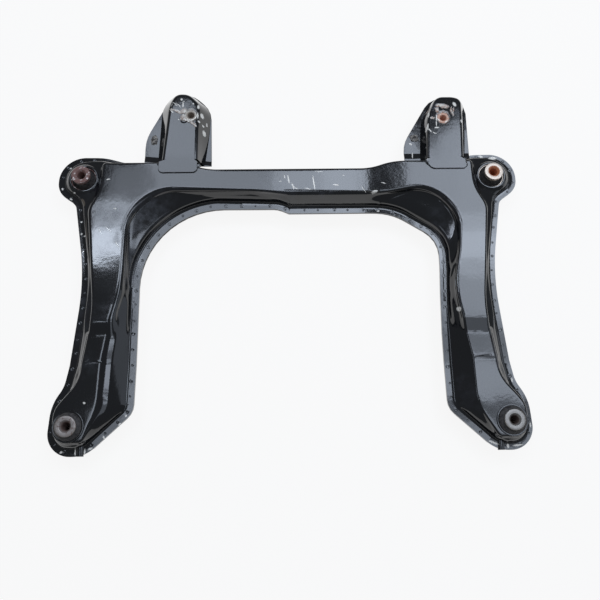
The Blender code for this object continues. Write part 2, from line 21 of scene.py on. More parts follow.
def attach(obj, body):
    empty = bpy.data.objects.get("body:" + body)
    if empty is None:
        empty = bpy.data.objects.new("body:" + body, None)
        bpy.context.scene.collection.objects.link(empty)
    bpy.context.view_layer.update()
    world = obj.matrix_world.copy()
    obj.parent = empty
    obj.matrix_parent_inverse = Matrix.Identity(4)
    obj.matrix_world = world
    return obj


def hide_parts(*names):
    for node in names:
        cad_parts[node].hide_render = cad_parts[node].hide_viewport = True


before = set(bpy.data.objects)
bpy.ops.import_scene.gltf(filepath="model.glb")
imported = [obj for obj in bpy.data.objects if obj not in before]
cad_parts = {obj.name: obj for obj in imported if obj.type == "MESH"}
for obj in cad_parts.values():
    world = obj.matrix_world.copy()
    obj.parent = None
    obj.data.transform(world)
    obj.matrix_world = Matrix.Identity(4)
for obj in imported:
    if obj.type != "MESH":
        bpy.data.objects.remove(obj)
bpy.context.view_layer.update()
MM = 0.001

# %% [markdown]
# ## Camera
#
# The photograph looks down from about a metre above the part. Its principal ray leans 15 degrees
# towards the front, and the part lies turned by a few degrees in the picture. Three plain turns
# give the same view.

# %% Camera
scene = bpy.context.scene
camera = bpy.data.objects.new("camera", bpy.data.cameras.new("camera"))
camera.data.lens = 36.0
camera.data.sensor_width = 36.0
turn = (Matrix.Rotation(math.radians(-3.725), 4, "Z") @ Matrix.Rotation(math.radians(15.0), 4, "X")
        @ Matrix.Rotation(math.radians(2.906), 4, "Z"))
camera.matrix_world = Matrix.Translation((-0.0002, -0.350, 1.070)) @ turn
scene.collection.objects.link(camera)
scene.camera = camera
print("camera height in metres:", camera.location.z)

# %% [markdown]
# ## Small helpers
#
# Every finish is a node tree, so one function adds a node with its settings and its links.
# Colours are written as sRGB hex values, as a paint chart gives them, and are turned linear here.

# %% Helpers for materials
def linear(hex_colour):
    """An sRGB hex value as the linear colour that Blender's sockets take."""
    levels = [level / 255 for level in hex_colour.to_bytes(3, "big")]
    return tuple(v / 12.92 if v <= 0.04045 else ((v + 0.055) / 1.055) ** 2.4 for v in levels) + (1.0,)


def set_inputs(tree, node, **inputs):
    """Gives a node's inputs their values, or links them from a socket or from a node's output."""
    for key, value in inputs.items():
        socket = node.inputs[int(key[1:]) if key[1:].isdigit() else key.replace("_", " ")]
        if isinstance(value, bpy.types.Node):
            value = next(output for output in value.outputs if output.enabled)
        if isinstance(value, bpy.types.NodeSocket):
            tree.links.new(value, socket)
        else:
            socket.default_value = value


def add_node(tree, kind, settings=None, **inputs):
    """Adds a shader node. settings are its own properties, and _0 names an input by its place."""
    made = tree.nodes.new("ShaderNode" + kind)
    for key, value in (settings or {}).items():
        setattr(made, key, value)
    set_inputs(tree, made, **inputs)
    return made


def new_material(name):
    """A material with an empty tree, its shader and the coordinates that its patterns read."""
    material = bpy.data.materials.new(name)
    material.use_nodes = True
    tree = material.node_tree
    shader = tree.nodes["Principled BSDF"]
    place = tree.nodes.new("ShaderNodeTexCoord").outputs["Object"]
    return material, tree, shader, place


# %% [markdown]
# ## The plan of the pressing
#
# The shells have no flat side: the flange's edge and the crease of the top face are two different
# outlines, and the wall between them leans more here and less there. Both outlines are polygons
# with rounded corners. This table is one half, from the middle of the bay round the foot and the
# ear to the middle of the crossbar's front. Each row holds the edge's corner and the crease's
# corner, as x, y and the reach of the rounding in millimetres, and the kind of wall between them.

# %% The outline tables
Wall = namedtuple("Wall", "flange low_in low_height high_out high_height high_reach crease_reach",
                  defaults=(5, 5))
INSIDE = Wall(13, 4.5, 13, 3.5, 24, 5, 9)
ROUND_SIDE = Wall(13, 4.5, 13, 5, 20, 5, 9)
STEEP = Wall(13, 1.5, 12, 1.2, 22)
SLOPED = Wall(13, 9, 8.5, 4, 20.7)
SHOULDERED = Wall(13, 5, 5, 13, 18.7, 3, 8)
SOFT_INSIDE = Wall(16, 4.5, 12, 5.5, 22, 2, 11)
SOFT_STEEP = Wall(14, 1.5, 12, 4, 21, 2, 11)
TIP = Wall(13, 0.8, 10, 0.8, 16)
OUTSIDE = Wall(13, 4, 10, 5, 17)
LIP = Wall(13, 5, 11, 6, 15)
UPRIGHT = Wall(11, 0.8, 12, 0.8, 22)

RIGHT_BAY = [
    ((0, 91, 0), (0, 117, 0), INSIDE), ((150, 91, 20), (165, 117, 25), INSIDE),
    ((190, 89.5, 45), (256, 131.5, 38), ROUND_SIDE), ((272.5, 37, 30), (305.5, 83.5, 34), ROUND_SIDE),
    ((272, -15, 10), (303.5, 14.5, 30), INSIDE), ((269, -65, 15), (285.5, -58, 45), STEEP)]
LEFT_BAY = [
    ((0, 91, 0), (0, 117, 0), INSIDE), ((20, 100, 8), (60, 123, 25), INSIDE),
    ((269, 101, 150), (288, 128, 79.5), SOFT_INSIDE), ((267.5, -65, 15), (289.5, -58, 45), SOFT_STEEP)]
RIGHT_LEG = [
    ((266.5, -137, 0), (301, -137, 0), SLOPED), ((266, -187, 0), (310, -187, 0), SLOPED),
    ((266.5, -268, 14), (311, -262, 22), SLOPED)]
LEFT_LEG = [
    ((266.5, -137, 0), (308, -137, 0), SHOULDERED), ((266, -187, 0), (316, -187, 0), SHOULDERED),
    ((266.5, -268, 14), (318, -262, 22), SHOULDERED)]
FOOT_AND_FRONT = [
    ((343, -338.5, 20), (342, -317.5, 6), TIP),
    ((409.5, -338.5, 42), (393.5, -318, 27), TIP), ((405, -253, 22), (392, -264, 12), OUTSIDE),
    ((386, -224, 12), (354, -217, 18), OUTSIDE), ((379.5, -187, 0), (350.5, -187, 0), OUTSIDE),
    ((375.5, -137, 0), (343.5, -137, 0), OUTSIDE), ((367, -32.5, 60), (338.5, -100, 60), OUTSIDE),
    ((392.5, 112, 8), (360, 91, 12), LIP), ((428, 137, 19), (340, 130, 18), LIP),
    ((428, 208, 48), (339, 183, 7), LIP), ((345, 207, 15), (315, 182, 5), UPRIGHT),
    ((305, 195.5, 12), (270, 182, 10), UPRIGHT), ((200, 195.5, 25), (192, 182, 25), UPRIGHT),
    ((150, 180.5, 20), (150, 167, 20), UPRIGHT), ((0, 180.5, 0), (0, 167, 0), UPRIGHT)]

SHEET = 2.5
FLANGE_Z = 40.65
CREST_RISE, FOOT_RISE = 30.5, 24.0
STEP_Y, RAMP_LENGTH = -187.0, 70.0
FRONT_BUSH = Vector((377.0, 157.0))
REAR_BUSH = Vector((365.5, -291.0))
CORNERS = {"front_left": Vector((-FRONT_BUSH.x, FRONT_BUSH.y)), "front_right": FRONT_BUSH,
           "rear_left": Vector((-REAR_BUSH.x, REAR_BUSH.y)), "rear_right": REAR_BUSH}
print("corners in the right half:", len(RIGHT_BAY + RIGHT_LEG + FOOT_AND_FRONT))

# %% [markdown]
# ## Rounded paths
#
# A rounded corner is an arc between two points on its sides, pulled towards the corner. The same
# small function rounds the plan outlines and the section of the wall, so the crease catches the
# light in one clean line. Two paths with the same steps have the same number of samples, which is
# what a loft needs.

# %% Rounded path
def rounded(corners, steps):
    """Samples of a polygon with rounded corners, as (place, direction of travel) pairs."""
    last = len(corners) - 1
    arcs = []
    for index, (place, reach) in enumerate(corners):
        before, before_reach = corners[max(index - 1, 0)]
        after, after_reach = corners[min(index + 1, last)]
        arriving = place - before if index > 0 else after - place
        leaving = after - place if index < last else arriving
        fits = min(arriving.length / (reach + before_reach + 2.0),
                   leaving.length / (reach + after_reach + 2.0), 1.0) * reach
        arriving, leaving = arriving.normalized(), leaving.normalized()
        arcs.append((place - arriving * fits, place, place + leaving * fits,
                     math.cos(arriving.angle(leaving) / 2), arriving, leaving))
    samples = []
    for index, (round_steps, run_steps) in enumerate(steps):
        start, corner, end, weight, arriving, leaving = arcs[index]
        for step in range(round_steps + 1):
            t = step / round_steps if round_steps else 0.5
            shares = ((1 - t) ** 2, 2 * weight * t * (1 - t), t ** 2)
            place = (start * shares[0] + corner * shares[1] + end * shares[2]) / sum(shares)
            samples.append((place, arriving.lerp(leaving, t).normalized()))
        for step in range(1, run_steps):
            samples.append((end.lerp(arcs[index + 1][0], step / run_steps), leaving))
    return samples


# %% [markdown]
# ## The ring of samples
#
# The loft needs samples that are dense where the plan turns and sparse on the long runs. The steps
# of each row come from its real lengths, about one sample to every five millimetres. The values
# of the wall are then averaged over a few neighbours, because pressed steel has no sudden change.

# %% Ring of samples
SPACING = 5.0
Sample = namedtuple("Sample", "edge inward crease crease_inward wall")


def half_ring(corners, side):
    """The samples of one half of the plan. side is 1 for the right half and -1 for the left."""
    steps = []
    for index, (edge, crease, wall) in enumerate(corners):
        following = corners[min(index + 1, len(corners) - 1)]
        round_steps = math.ceil((edge[2] + crease[2]) / SPACING * 1.3) + 3 if edge[2] else 0
        lengths = [math.dist(here[:2], there[:2]) - here[2] - there[2]
                   for here, there in zip((edge, crease), following)]
        steps.append((round_steps, max(1, math.ceil(max(lengths) / SPACING))))
    steps[-1] = (0, 0)
    lines = [rounded([(Vector(row[which][:2]), row[which][2]) for row in corners], steps)
             for which in (0, 1)]
    walls = []
    for index, (round_steps, run_steps) in enumerate(steps):
        wall = corners[index][2]
        walls += [wall] * (round_steps + 1)
        for step in range(1, run_steps):
            t = step / run_steps
            walls.append(Wall(*(a + (b - a) * t for a, b in zip(wall, corners[index + 1][2]))))
    samples = []
    for (edge, edge_along), (crease, crease_along), wall in zip(*lines, walls):
        samples.append(Sample(*(Vector((v.x * side, v.y)) for v in (
            edge, edge_along.orthogonal(), crease, crease_along.orthogonal())), wall))
    return samples


def averaged_walls(ring, reach=4):
    """The same ring with each wall's values averaged over its neighbours."""
    count = len(ring)
    result = []
    for index, sample in enumerate(ring):
        near = [ring[(index + offset) % count].wall for offset in range(-reach, reach + 1)]
        result.append(sample._replace(wall=Wall(*(sum(values) / len(near) for values in zip(*near)))))
    return result


ring = averaged_walls(half_ring(RIGHT_BAY + RIGHT_LEG + FOOT_AND_FRONT, 1)
                      + half_ring(LEFT_BAY + LEFT_LEG + FOOT_AND_FRONT, -1)[-2:0:-1])
print("samples round the pressing:", len(ring))

# %% [markdown]
# ## The upper pressing
#
# The press draws the sheet over a die: flange, a small fillet, a wall with two breaks, a rounded
# crease, then the level top, which ramps down to the foot pads behind a step. A flat grid is bent
# to that shape, one column of it to each sample. The grid keeps the quads in order, so the gloss
# runs along the wall without a break. The top is then filled and cut at the step's bends.

# %% Section of the upper wall
RAMP = rounded([(Vector(corner[:2]), corner[2]) for corner in (
    (-400.0, FOOT_RISE, 0.0), (STEP_Y, FOOT_RISE, 1.0), (STEP_Y + 3.0, 24.7, 1.0),
    (STEP_Y + 45.0, 25.1, 1.5), (STEP_Y + RAMP_LENGTH, CREST_RISE, 2.5), (400.0, CREST_RISE, 0.0))],
    ((0, 1), (3, 1), (3, 1), (4, 1), (4, 1), (0, 0)))
RAMP_POINTS = [place for place, _ in RAMP]


def rise_at(y):
    """The height of the top over the flange: crest, a steep ramp, a long level, a step, the foot."""
    for here, there in zip(RAMP_POINTS, RAMP_POINTS[1:]):
        if y <= there.x:
            return here.y + (there.y - here.y) * (y - here.x) / (there.x - here.x)
    return CREST_RISE


def lift(place, height):
    """A place in the plan, raised to a height."""
    return Vector((place.x, place.y, height))


def upper_section(sample):
    """The points of the wall at one sample, from the flange's edge to the top face."""
    wall = sample.wall
    foot = sample.edge + sample.inward * wall.flange
    rise = rise_at(sample.crease.y)
    across = sample.crease - foot
    run = max(across.length, 1.0)
    # On a narrow wall the lower break keeps to the outer half, and the upper one to the inner half.
    low = foot + across * min(wall.low_in / run, 0.45)
    high = foot + across * max(1 - wall.high_out / run, 0.55)
    corners = [(lift(sample.edge, FLANGE_Z), 0.0), (lift(foot, FLANGE_Z), 4.0),
               (lift(low, FLANGE_Z + min(wall.low_height, 0.6 * rise)), 5.0),
               (lift(high, FLANGE_Z + min(wall.high_height, rise - 2)), wall.high_reach),
               (lift(sample.crease, FLANGE_Z + rise), wall.crease_reach),
               (lift(sample.crease + sample.crease_inward * (wall.crease_reach + 1), FLANGE_Z + rise), 0.0)]
    steps = ((0, 2), (4, 1), (3, 2), (3, 1), (7, 1), (0, 0))
    return [place for place, _ in rounded(corners, steps)]


# %% Bend a grid into the wall
MERGE = 0.01 * MM


def laid_grid(sheet, columns, closed):
    """Lays quads with one column of them to each sample, and returns their points in order."""
    rows = len(columns[0])
    made = bmesh.ops.create_grid(sheet, x_segments=rows - 1, y_segments=len(columns) - (not closed), size=0.5)
    grid = sorted(made["verts"], key=lambda vert: (round(vert.co.y, 5), round(vert.co.x, 5)))
    for index, vert in enumerate(grid):
        vert.co = columns[(index // rows) % len(columns)][index % rows] * MM
    return grid


def bent_grid(columns, closed):
    """The laid quads as a sheet of its own, closed round the ring or open, with its seam merged."""
    sheet = bmesh.new()
    laid_grid(sheet, columns, closed)
    bmesh.ops.remove_doubles(sheet, verts=sheet.verts, dist=MERGE)
    return sheet


def face_up(working):
    """Turns the faces of an open sheet so that they look up."""
    working.normal_update()
    if sum(face.normal.z for face in working.faces) < 0:
        bmesh.ops.reverse_faces(working, faces=working.faces)


LEVEL, SMALL_FACE = 0.99999, 20 * MM ** 2


def shade(mesh, smooth_angle):
    """Shades a mesh smooth, but for its large level faces, which a rounded neighbour would tint."""
    mesh.set_sharp_from_angle(angle=math.radians(smooth_angle))
    for face in mesh.polygons:
        face.use_smooth = abs(face.normal.z) < LEVEL or face.area < SMALL_FACE


def finished(name, working, material, smooth_angle=40.0):
    """Turns a bmesh into an object at the origin, with smooth shading that breaks at sharp edges."""
    mesh = bpy.data.meshes.new(name)
    working.to_mesh(mesh)
    working.free()
    shade(mesh, smooth_angle)
    mesh.materials.append(material)
    made = bpy.data.objects.new(name, mesh)
    scene.collection.objects.link(made)
    return made


def settled(piece, smooth_angle=40.0):
    """Applies the modifiers of a piece for good, so that its mesh is final."""
    bpy.context.view_layer.update()
    final = bpy.data.meshes.new_from_object(piece.evaluated_get(bpy.context.evaluated_depsgraph_get()))
    piece.modifiers.clear()
    piece.data = final
    shade(final, smooth_angle)
    print(piece.name, "has", sum(len(face.vertices) - 2 for face in final.polygons), "triangles")
    return piece


# %% [markdown]
# ## Black dip paint
#
# A subframe is dipped in black electrophoretic paint and stoved. The film is smooth and glossy but
# thin, so it follows every ripple of the pressed sheet, and it mirrors the room: the colour that
# the eye sees on the top is the ceiling's. Use leaves a grey haze of dust in patches, hairline
# scuffs, and chips where the film is knocked off down to the pale metal. A mark could be modelled,
# but the film is a tenth of a millimetre thick, so a mask in the paint shows it better.

# %% Patches, and marks where the paint is gone
def patches(tree, place, grain_mm, low, high, detail=3.0, roughness=0.5):
    """A mask of soft patches. It rises from 0 to 1 where a noise of that grain goes from low to high."""
    cloud = add_node(tree, "TexNoise", Vector=place, Scale=1 / (grain_mm * MM), Detail=detail,
                     Roughness=roughness)
    return add_node(tree, "MapRange", Value=cloud, From_Min=low, From_Max=high)


def ragged(tree, place, grain_mm, reach_mm):
    """Coordinates shaken by noise, so that the outline of a mark tears as paint does."""
    noise_here = add_node(tree, "TexNoise", Vector=place, Scale=1 / (grain_mm * MM), Detail=3.0)
    reach = reach_mm * MM
    shift = add_node(tree, "VectorMath", {"operation": "MULTIPLY_ADD"}, _0=noise_here.outputs["Color"],
                     _1=(reach, reach, 0.0), _2=(-reach / 2, -reach / 2, 0.0))
    return add_node(tree, "VectorMath", {"operation": "ADD"}, _0=place, _1=shift)


def mark_mask(tree, place, marks, inner=0.75, outer=1.15):
    """One mask for many marks. Each is an ellipse: x, y, half length, half width (mm), angle."""
    nearest = 9.0
    for x, y, half_length, half_width, angle in marks:
        local = add_node(tree, "Mapping", {"vector_type": "TEXTURE"}, Vector=place,
                         Location=(x * MM, y * MM, 0.055), Rotation=(0.0, 0.0, math.radians(angle)),
                         Scale=(half_length * MM, half_width * MM, 0.05))
        reach = add_node(tree, "VectorMath", {"operation": "LENGTH"}, _0=local)
        nearest = add_node(tree, "Math", {"operation": "MINIMUM"}, _0=nearest, _1=reach)
    return add_node(tree, "MapRange", Value=nearest, From_Min=outer, From_Max=inner)


# %% The paint
def dip_paint(name, chips_and_highlights, peeled=(), dull=(), grime=(), rust=0x8A6F5E):
    """Black film on pressed steel: chip marks, painted highlights, peeled places, dull scuffs and streaks of
    grime.
    """
    material, tree, shader, place = new_material(name)
    # Dust lies in patches as wide as a hand, broken into specks, and greys and dulls the gloss.
    dusty = patches(tree, place, 80, 0.5, 0.8)
    speckle = patches(tree, place, 12, 0.35, 0.7)
    scuffed = mark_mask(tree, ragged(tree, place, 14, 12), dull, 0.5, 1.2)
    dusty = add_node(tree, "Math", {"operation": "MAXIMUM"}, _0=dusty, _1=scuffed)
    haze = add_node(tree, "Math", {"operation": "MULTIPLY"}, _0=dusty, _1=speckle)
    # A chip is small and clean. Where paint has peeled, pale metal and a bloom of rust lie side by side.
    chipped_or_highlit = mark_mask(tree, ragged(tree, place, 3, 2.4), chips_and_highlights)
    bare = mark_mask(tree, ragged(tree, place, 6, 7), peeled)
    colour = add_node(tree, "Mix", {"data_type": "RGBA"}, _6=linear(0x131417), _7=linear(0x4E5058),
                      _0=add_node(tree, "Math", {"operation": "MULTIPLY"}, _0=haze, _1=0.4))
    colour = add_node(tree, "Mix", {"data_type": "RGBA"}, _6=colour, _7=linear(0x5F564C),
                      _0=mark_mask(tree, ragged(tree, place, 8, 2), grime))
    rusty = patches(tree, place, 4, 0.4, 0.62, detail=4.0, roughness=0.7)
    metal = add_node(tree, "Mix", {"data_type": "RGBA"}, _0=rusty, _6=linear(0xE4DFD5), _7=linear(rust))
    colour = add_node(tree, "Mix", {"data_type": "RGBA"}, _0=bare, _6=colour, _7=metal)
    # The pale chip colour also serves as a painted highlight, where a mark is laid over a bright reflection.
    colour = add_node(tree, "Mix", {"data_type": "RGBA"}, _0=chipped_or_highlit, _6=colour, _7=linear(0xF1ECE2))
    # The film is a clear mirror, the dust on it blurs that a little, and bare metal is nearly matt.
    marked = add_node(tree, "Math", {"operation": "MAXIMUM"}, _0=chipped_or_highlit, _1=bare)
    rough = add_node(tree, "Math", {"operation": "MULTIPLY_ADD"}, _0=haze, _1=0.12, _2=0.085)
    rough = add_node(tree, "Math", {"operation": "MULTIPLY_ADD"}, _0=scuffed, _1=0.1, _2=rough)
    rough = add_node(tree, "Math", {"operation": "MULTIPLY_ADD"}, _0=marked, _1=0.5, _2=rough)
    # The sheet's own ripple bends the reflections, the paint's orange peel frets them, and the film
    # ends in a step where it has peeled.
    ripple = add_node(tree, "TexNoise", Vector=place, Scale=1 / (70 * MM), Detail=1.0)
    ripple = add_node(tree, "Bump", Distance=0.6 * MM, Height=ripple)
    peel = add_node(tree, "TexNoise", Vector=place, Scale=1 / (6 * MM), Detail=2.0)
    peel = add_node(tree, "Bump", Distance=0.04 * MM, Normal=ripple, Height=peel)
    step = add_node(tree, "Bump", Distance=-0.3 * MM, Normal=peel, Height=bare)
    set_inputs(tree, shader, Base_Color=colour, Roughness=rough, Coat_Weight=0.5, Coat_Roughness=0.06,
               Normal=step, Coat_Normal=step)
    return material


# The last mark of this list is no chip: it is a painted highlight over the drop at the ridge's end.
PRESSING_CHIPS_AND_HIGHLIGHT = [
    (-7, 150, 4.3, 1.0, 104), (0, 145, 9.2, 1.5, 99), (8, 131, 6.5, 1.7, 110), (14, 127, 3.6, 1.0, 150),
    (46, 137, 15.0, 1.5, 97), (86, 133, 5.3, 1.6, 172), (173, 136, 4.7, 0.9, 165), (136, 124, 7.8, 0.7, 123),
    (-15, 141, 2.7, 0.8, 0), (56, 160, 7.5, 0.7, 176), (100, 152, 1.3, 1.2, 0), (35, 126, 7.4, 0.7, 168),
    (292.7, -100.6, 2.2, 4.4, 20), (-342, -252.7, 2.4, 1.6, 160),
    (366.7, 203.5, 4.7, 2.5, -14), (388.7, 199.9, 8.2, 3.2, 2), (-379.9, 77.8, 2.1, 1.8, 65),
    (-377.8, 54.5, 1.8, 1.9, 0), (-371.4, 50.3, 1.5, 1.6, 0), (-372.4, 20.6, 1.5, 1.6, 0),
    (-420, 144, 1.6, 2.3, 0), (-402.5, 123.3, 1.6, 3, 66), (-407.9, 185.9, 1.8, 1.5, 0),
    (-392.7, 130.5, 2.2, 1, -22), (-311.1, 90.8, 3.3, 1.3, -11), (-326.7, 148, 3.8, 1.1, 11),
    (-320.3, 51.3, 7.9, 0.6, -41), (-335, 48.2, 8.1, 0.5, -59), (-303.1, 22.8, 8, 0.7, -59),
    (338, -326, 9, 2.0, -22), (362, -332, 2, 4, 0), (379, -331, 9, 1.6, 5), (398, -277, 1.6, 4, 10),
    (404, -298, 1.5, 4, 0), (-382, -331, 3, 2, 30), (-358.5, -331, 1.3, 6, 0), (-343, -331, 1.3, 6, 0),
    (-334, -326, 4, 1.6, 25), (-288, -287, 3, 2, 45), (-313, -308, 1.4, 3.4, 30), (-278.3, -273, 1.5, 2, 0),
    (380.7, -222, 1.5, 3.5, 10), (165, 94, 3, 1.2, 5), (264, -28, 1.4, 2, 0),
    (155.5, 118.4, 6.0, 2.3, 12)]
PRESSING_PAINT = dip_paint(
    "black_dip_paint", PRESSING_CHIPS_AND_HIGHLIGHT,
    dull=[(-317, 76, 30, 24, 44), (-338, 88, 10, 24, 0), (-304, 34, 7, 18, 0),
          (-262, 78, 62, 30, 42), (-280, -10, 14, 60, 0)],
    grime=[(-375.8, 110.9, 7.8, 3.8, -68), (-364.5, 53.3, 28.4, 1.1, -82), (-357.5, 10.5, 14.7, 0.8, -80)])
print("marks on the pressing:", len(PRESSING_CHIPS_AND_HIGHLIGHT))

# %% [markdown]
# The tongues are worn worst, because spanners and other steel rub them round the bolts. Each gets
# the same paint with its own marks: pale metal and thin rust where the film has peeled.

# %% Worn paint of the tongues
LEFT_TONGUE_PAINT = dip_paint(
    "worn_dip_paint_left", [
        (-199.4, 309.7, 2.4, 2.5, 0), (-194.9, 305.4, 1.3, 1.2, 0), (-196.3, 298.7, 6.1, 1.5, 92),
        (-167.7, 294.2, 4.9, 2.4, 92), (-168.2, 275.3, 7.3, 1.4, 92), (-161.4, 279.5, 4.9, 2.8, 92),
        (-157.9, 247.6, 5.4, 2.9, 91), (-165.8, 263.9, 2.1, 2.2, 0), (-177.5, 300.4, 1.6, 1.5, 0),
        (-154.1, 268, 3.6, 1.1, 91), (-159.3, 260.8, 2.1, 1.9, 0), (-203.7, 267.2, 1.3, 1.4, 0),
        (-217.2, 284.8, 4.7, 0.9, -45), (-212, 301.2, 6.9, 0.6, -38), (-206.5, 299.3, 5.8, 0.6, -43),
        (-203.2, 296.3, 4.7, 0.8, -52), (-209.7, 297.5, 3.4, 0.5, -33), (-217.2, 298.2, 3.5, 0.6, 65)],
    peeled=[(-194.2, 285.2, 7.5, 6.5, 0), (-194.8, 271.9, 6.4, 8.4, 0), (-204.9, 284.1, 8.8, 3.3, -22),
            (-215.8, 288.4, 6.5, 2.2, -14), (-188.2, 265.8, 7.9, 3.5, -33), (-176.3, 259.1, 8, 2.9, -41),
            (-171.9, 253.7, 3, 2.6, 0), (-180.6, 276.6, 11.5, 14, 0)])
RIGHT_TONGUE_PAINT = dip_paint(
    "worn_dip_paint_right", [
        (315.3, 295.7, 5.3, 2.9, -67), (325.8, 260.6, 3.9, 2, 85), (261, 248.5, 8.1, 1.8, 77),
        (264.6, 241.6, 5.8, 1.3, -51), (273.4, 235.5, 4.3, 1, -25), (279.3, 266.8, 6.7, 1.7, 86),
        (277.9, 255.2, 5.8, 1.2, 86), (278.3, 246.6, 4.7, 1.6, 5), (265.5, 275, 7.1, 1.2, 77),
        (235.5, 205.5, 6.8, 1.1, 82), (233.6, 229.8, 3.1, 1.6, -45), (254.3, 182.9, 3.4, 1.1, -23)],
    peeled=[(287.1, 293.6, 8.3, 4.1, 0), (296, 291, 8.3, 4.7, 0), (281.1, 283.6, 5.9, 3.5, 86),
            (307.9, 283.4, 8.8, 1.4, 81), (311.4, 279.3, 10.6, 1.8, 77), (291.5, 268, 12.5, 14, 0),
            (271.6, 266.8, 4.1, 2.8, 0), (268.1, 290.2, 5, 2, 32)],
    dull=[(317.7, 272.6, 16, 9, 81), (270, 292, 14, 10, 30)], rust=0x9A6A50)

# %% [markdown]
# ## Turned steel
#
# The inner sleeves are turned on a lathe, which leaves rings about the axis, and their cut faces
# rust from the bore outwards. The rings are noise along the distance from the axis. Each corner
# rusted in its own way, so each has its own two colours, the share that is rusty and the radius of
# the rust round the bore.

# %% The turned steel
def turned_steel(name, centre, fresh, rust, share, rust_radius):
    """Lathe-turned steel that rusts from its bore. fresh and rust are its two colours."""
    material, tree, shader, place = new_material(name)
    local = add_node(tree, "VectorMath", {"operation": "MULTIPLY_ADD"}, _0=place, _1=(1.0, 1.0, 0.0),
                     _2=(-centre.x * MM, -centre.y * MM, 0.0))
    radius = add_node(tree, "VectorMath", {"operation": "LENGTH"}, _0=local)
    # The lathe's rings are 0.1 mm apart, and drawn at 0.7 mm so that the eye finds them.
    lathe = add_node(tree, "TexNoise", {"noise_dimensions": "1D"}, W=radius, Scale=1 / (0.7 * MM),
                     Detail=2.0)
    blotch = add_node(tree, "TexNoise", Vector=place, Scale=1 / (5 * MM), Detail=4.0, Roughness=0.65)
    edge = 0.72 - share * 0.45
    spread = add_node(tree, "MapRange", Value=blotch, From_Min=edge, From_Max=edge + 0.08)
    near = add_node(tree, "MapRange", Value=radius, From_Min=(rust_radius + 1.0) * MM,
                    From_Max=(rust_radius - 0.5) * MM)
    rusty = add_node(tree, "Math", {"operation": "MAXIMUM"}, _0=spread, _1=near)
    ringed = add_node(tree, "MapRange", Value=lathe, To_Min=0.75, To_Max=1.15)
    colour = add_node(tree, "Mix", {"data_type": "RGBA"}, _0=rusty, _6=linear(fresh), _7=linear(rust))
    colour = add_node(tree, "VectorMath", {"operation": "SCALE"}, _0=colour, Scale=ringed)
    rough = add_node(tree, "Math", {"operation": "MULTIPLY_ADD"}, _0=rusty, _1=0.35, _2=0.42)
    metal = add_node(tree, "MapRange", Value=rusty, To_Min=0.7, To_Max=0.1)
    pits = add_node(tree, "Bump", Distance=0.2 * MM, Height=blotch)
    rings = add_node(tree, "Bump", Distance=0.04 * MM, Height=lathe, Normal=pits)
    set_inputs(tree, shader, Base_Color=colour, Roughness=rough, Metallic=metal, Normal=rings)
    return material


STEEL_LOOKS = {
    "front_left": ("rusted", 0xC9BDB8, 0x866660, 0.75, 7.6),
    "front_right": ("chalky", 0xD2C4B6, 0xC27C58, 0.16, 10.4),
    "rear_left": ("dull", 0xA8A09B, 0x7A665F, 0.4, 8.0),
    "rear_right": ("turned", 0xA29E99, 0x6C5A52, 0.05, 7.4)}
STEELS = {corner: turned_steel(f"{look}_steel_{corner}", CORNERS[corner], *values)
          for corner, (look, *values) in STEEL_LOOKS.items()}
print("steels:", [steel.name for steel in STEELS.values()])

# %% [markdown]
# ## Rubber
#
# The blocks are vulcanised natural rubber filled with soot. It is matt and nearly black, greyed by
# dust that lies in the pores of the moulded skin. A pore is a tenth of a millimetre wide, drawn as
# 4 mm so that it shows. One noise gives the dust, the dullness and the pores, so that they agree.

# %% The rubber
def grained(name, grain_mm, spread, colours, roughness, depth_mm, metallic=0.0):
    """Dark matter with pale grains. Each pair runs from the bare matter to the middle of a grain."""
    material, tree, shader, place = new_material(name)
    grain = patches(tree, place, grain_mm, *spread, detail=5.0, roughness=0.7)
    bare, covered = (linear(hex_colour) for hex_colour in colours)
    colour = add_node(tree, "Mix", {"data_type": "RGBA"}, _0=grain, _6=bare, _7=covered)
    rough = add_node(tree, "MapRange", Value=grain, To_Min=roughness[0], To_Max=roughness[1])
    raised = add_node(tree, "Bump", Distance=depth_mm * MM, Height=grain)
    set_inputs(tree, shader, Base_Color=colour, Roughness=rough, Metallic=metallic, Normal=raised)
    return material


RUBBER = grained("vulcanised_rubber", 4, (0.35, 0.7), (0x1E1D1E, 0x565250), (0.45, 0.8), 0.3)
print("rubber's nodes:", len(RUBBER.node_tree.nodes))

# %% [markdown]
# ## The pressing as one skin
#
# The wall is bent first, and leaves a hole in the middle where the top face belongs. Filling it
# gives one large face, which planes cut across the legs at each bend of the ramp. Every point of
# it then gets the height of its own place. Filling and cutting keeps the top dead level between the
# bends, as the die leaves it, so that its gloss has no dents. A subdivided box would ripple there.

# %% Build the upper pressing
upper = bent_grid([upper_section(sample) for sample in ring], closed=True)
above_walls = (FLANGE_Z + FOOT_RISE - 1) * MM
bmesh.ops.edgeloop_fill(upper, edges=[edge for edge in upper.edges if edge.is_boundary
                                      and all(vert.co.z > above_walls for vert in edge.verts)])
for bend in RAMP_POINTS[1:-1]:
    top = [face for face in upper.faces if len(face.verts) > 4]
    top_parts = {part for face in top for part in (face, *face.edges, *face.verts)}
    bmesh.ops.bisect_plane(upper, geom=list(top_parts), dist=MERGE, plane_co=(0.0, bend.x * MM, 0.0),
                           plane_no=(0.0, 1.0, 0.0))
for vert in upper.verts:
    on_top = all(len(face.verts) > 4 or face.normal.z > 0.99 for face in vert.link_faces)
    if on_top and vert.co.z > (FLANGE_Z + FOOT_RISE - 0.01) * MM:
        vert.co.z = (FLANGE_Z + rise_at(vert.co.y / MM)) * MM
bmesh.ops.triangulate(upper, faces=[face for face in upper.faces if len(face.verts) > 4])
face_up(upper)
print("upward faces:", sum(face.normal.z > 0 for face in upper.faces), "of", len(upper.faces))
upper_pressing = finished("upper_pressing", upper, PRESSING_PAINT)

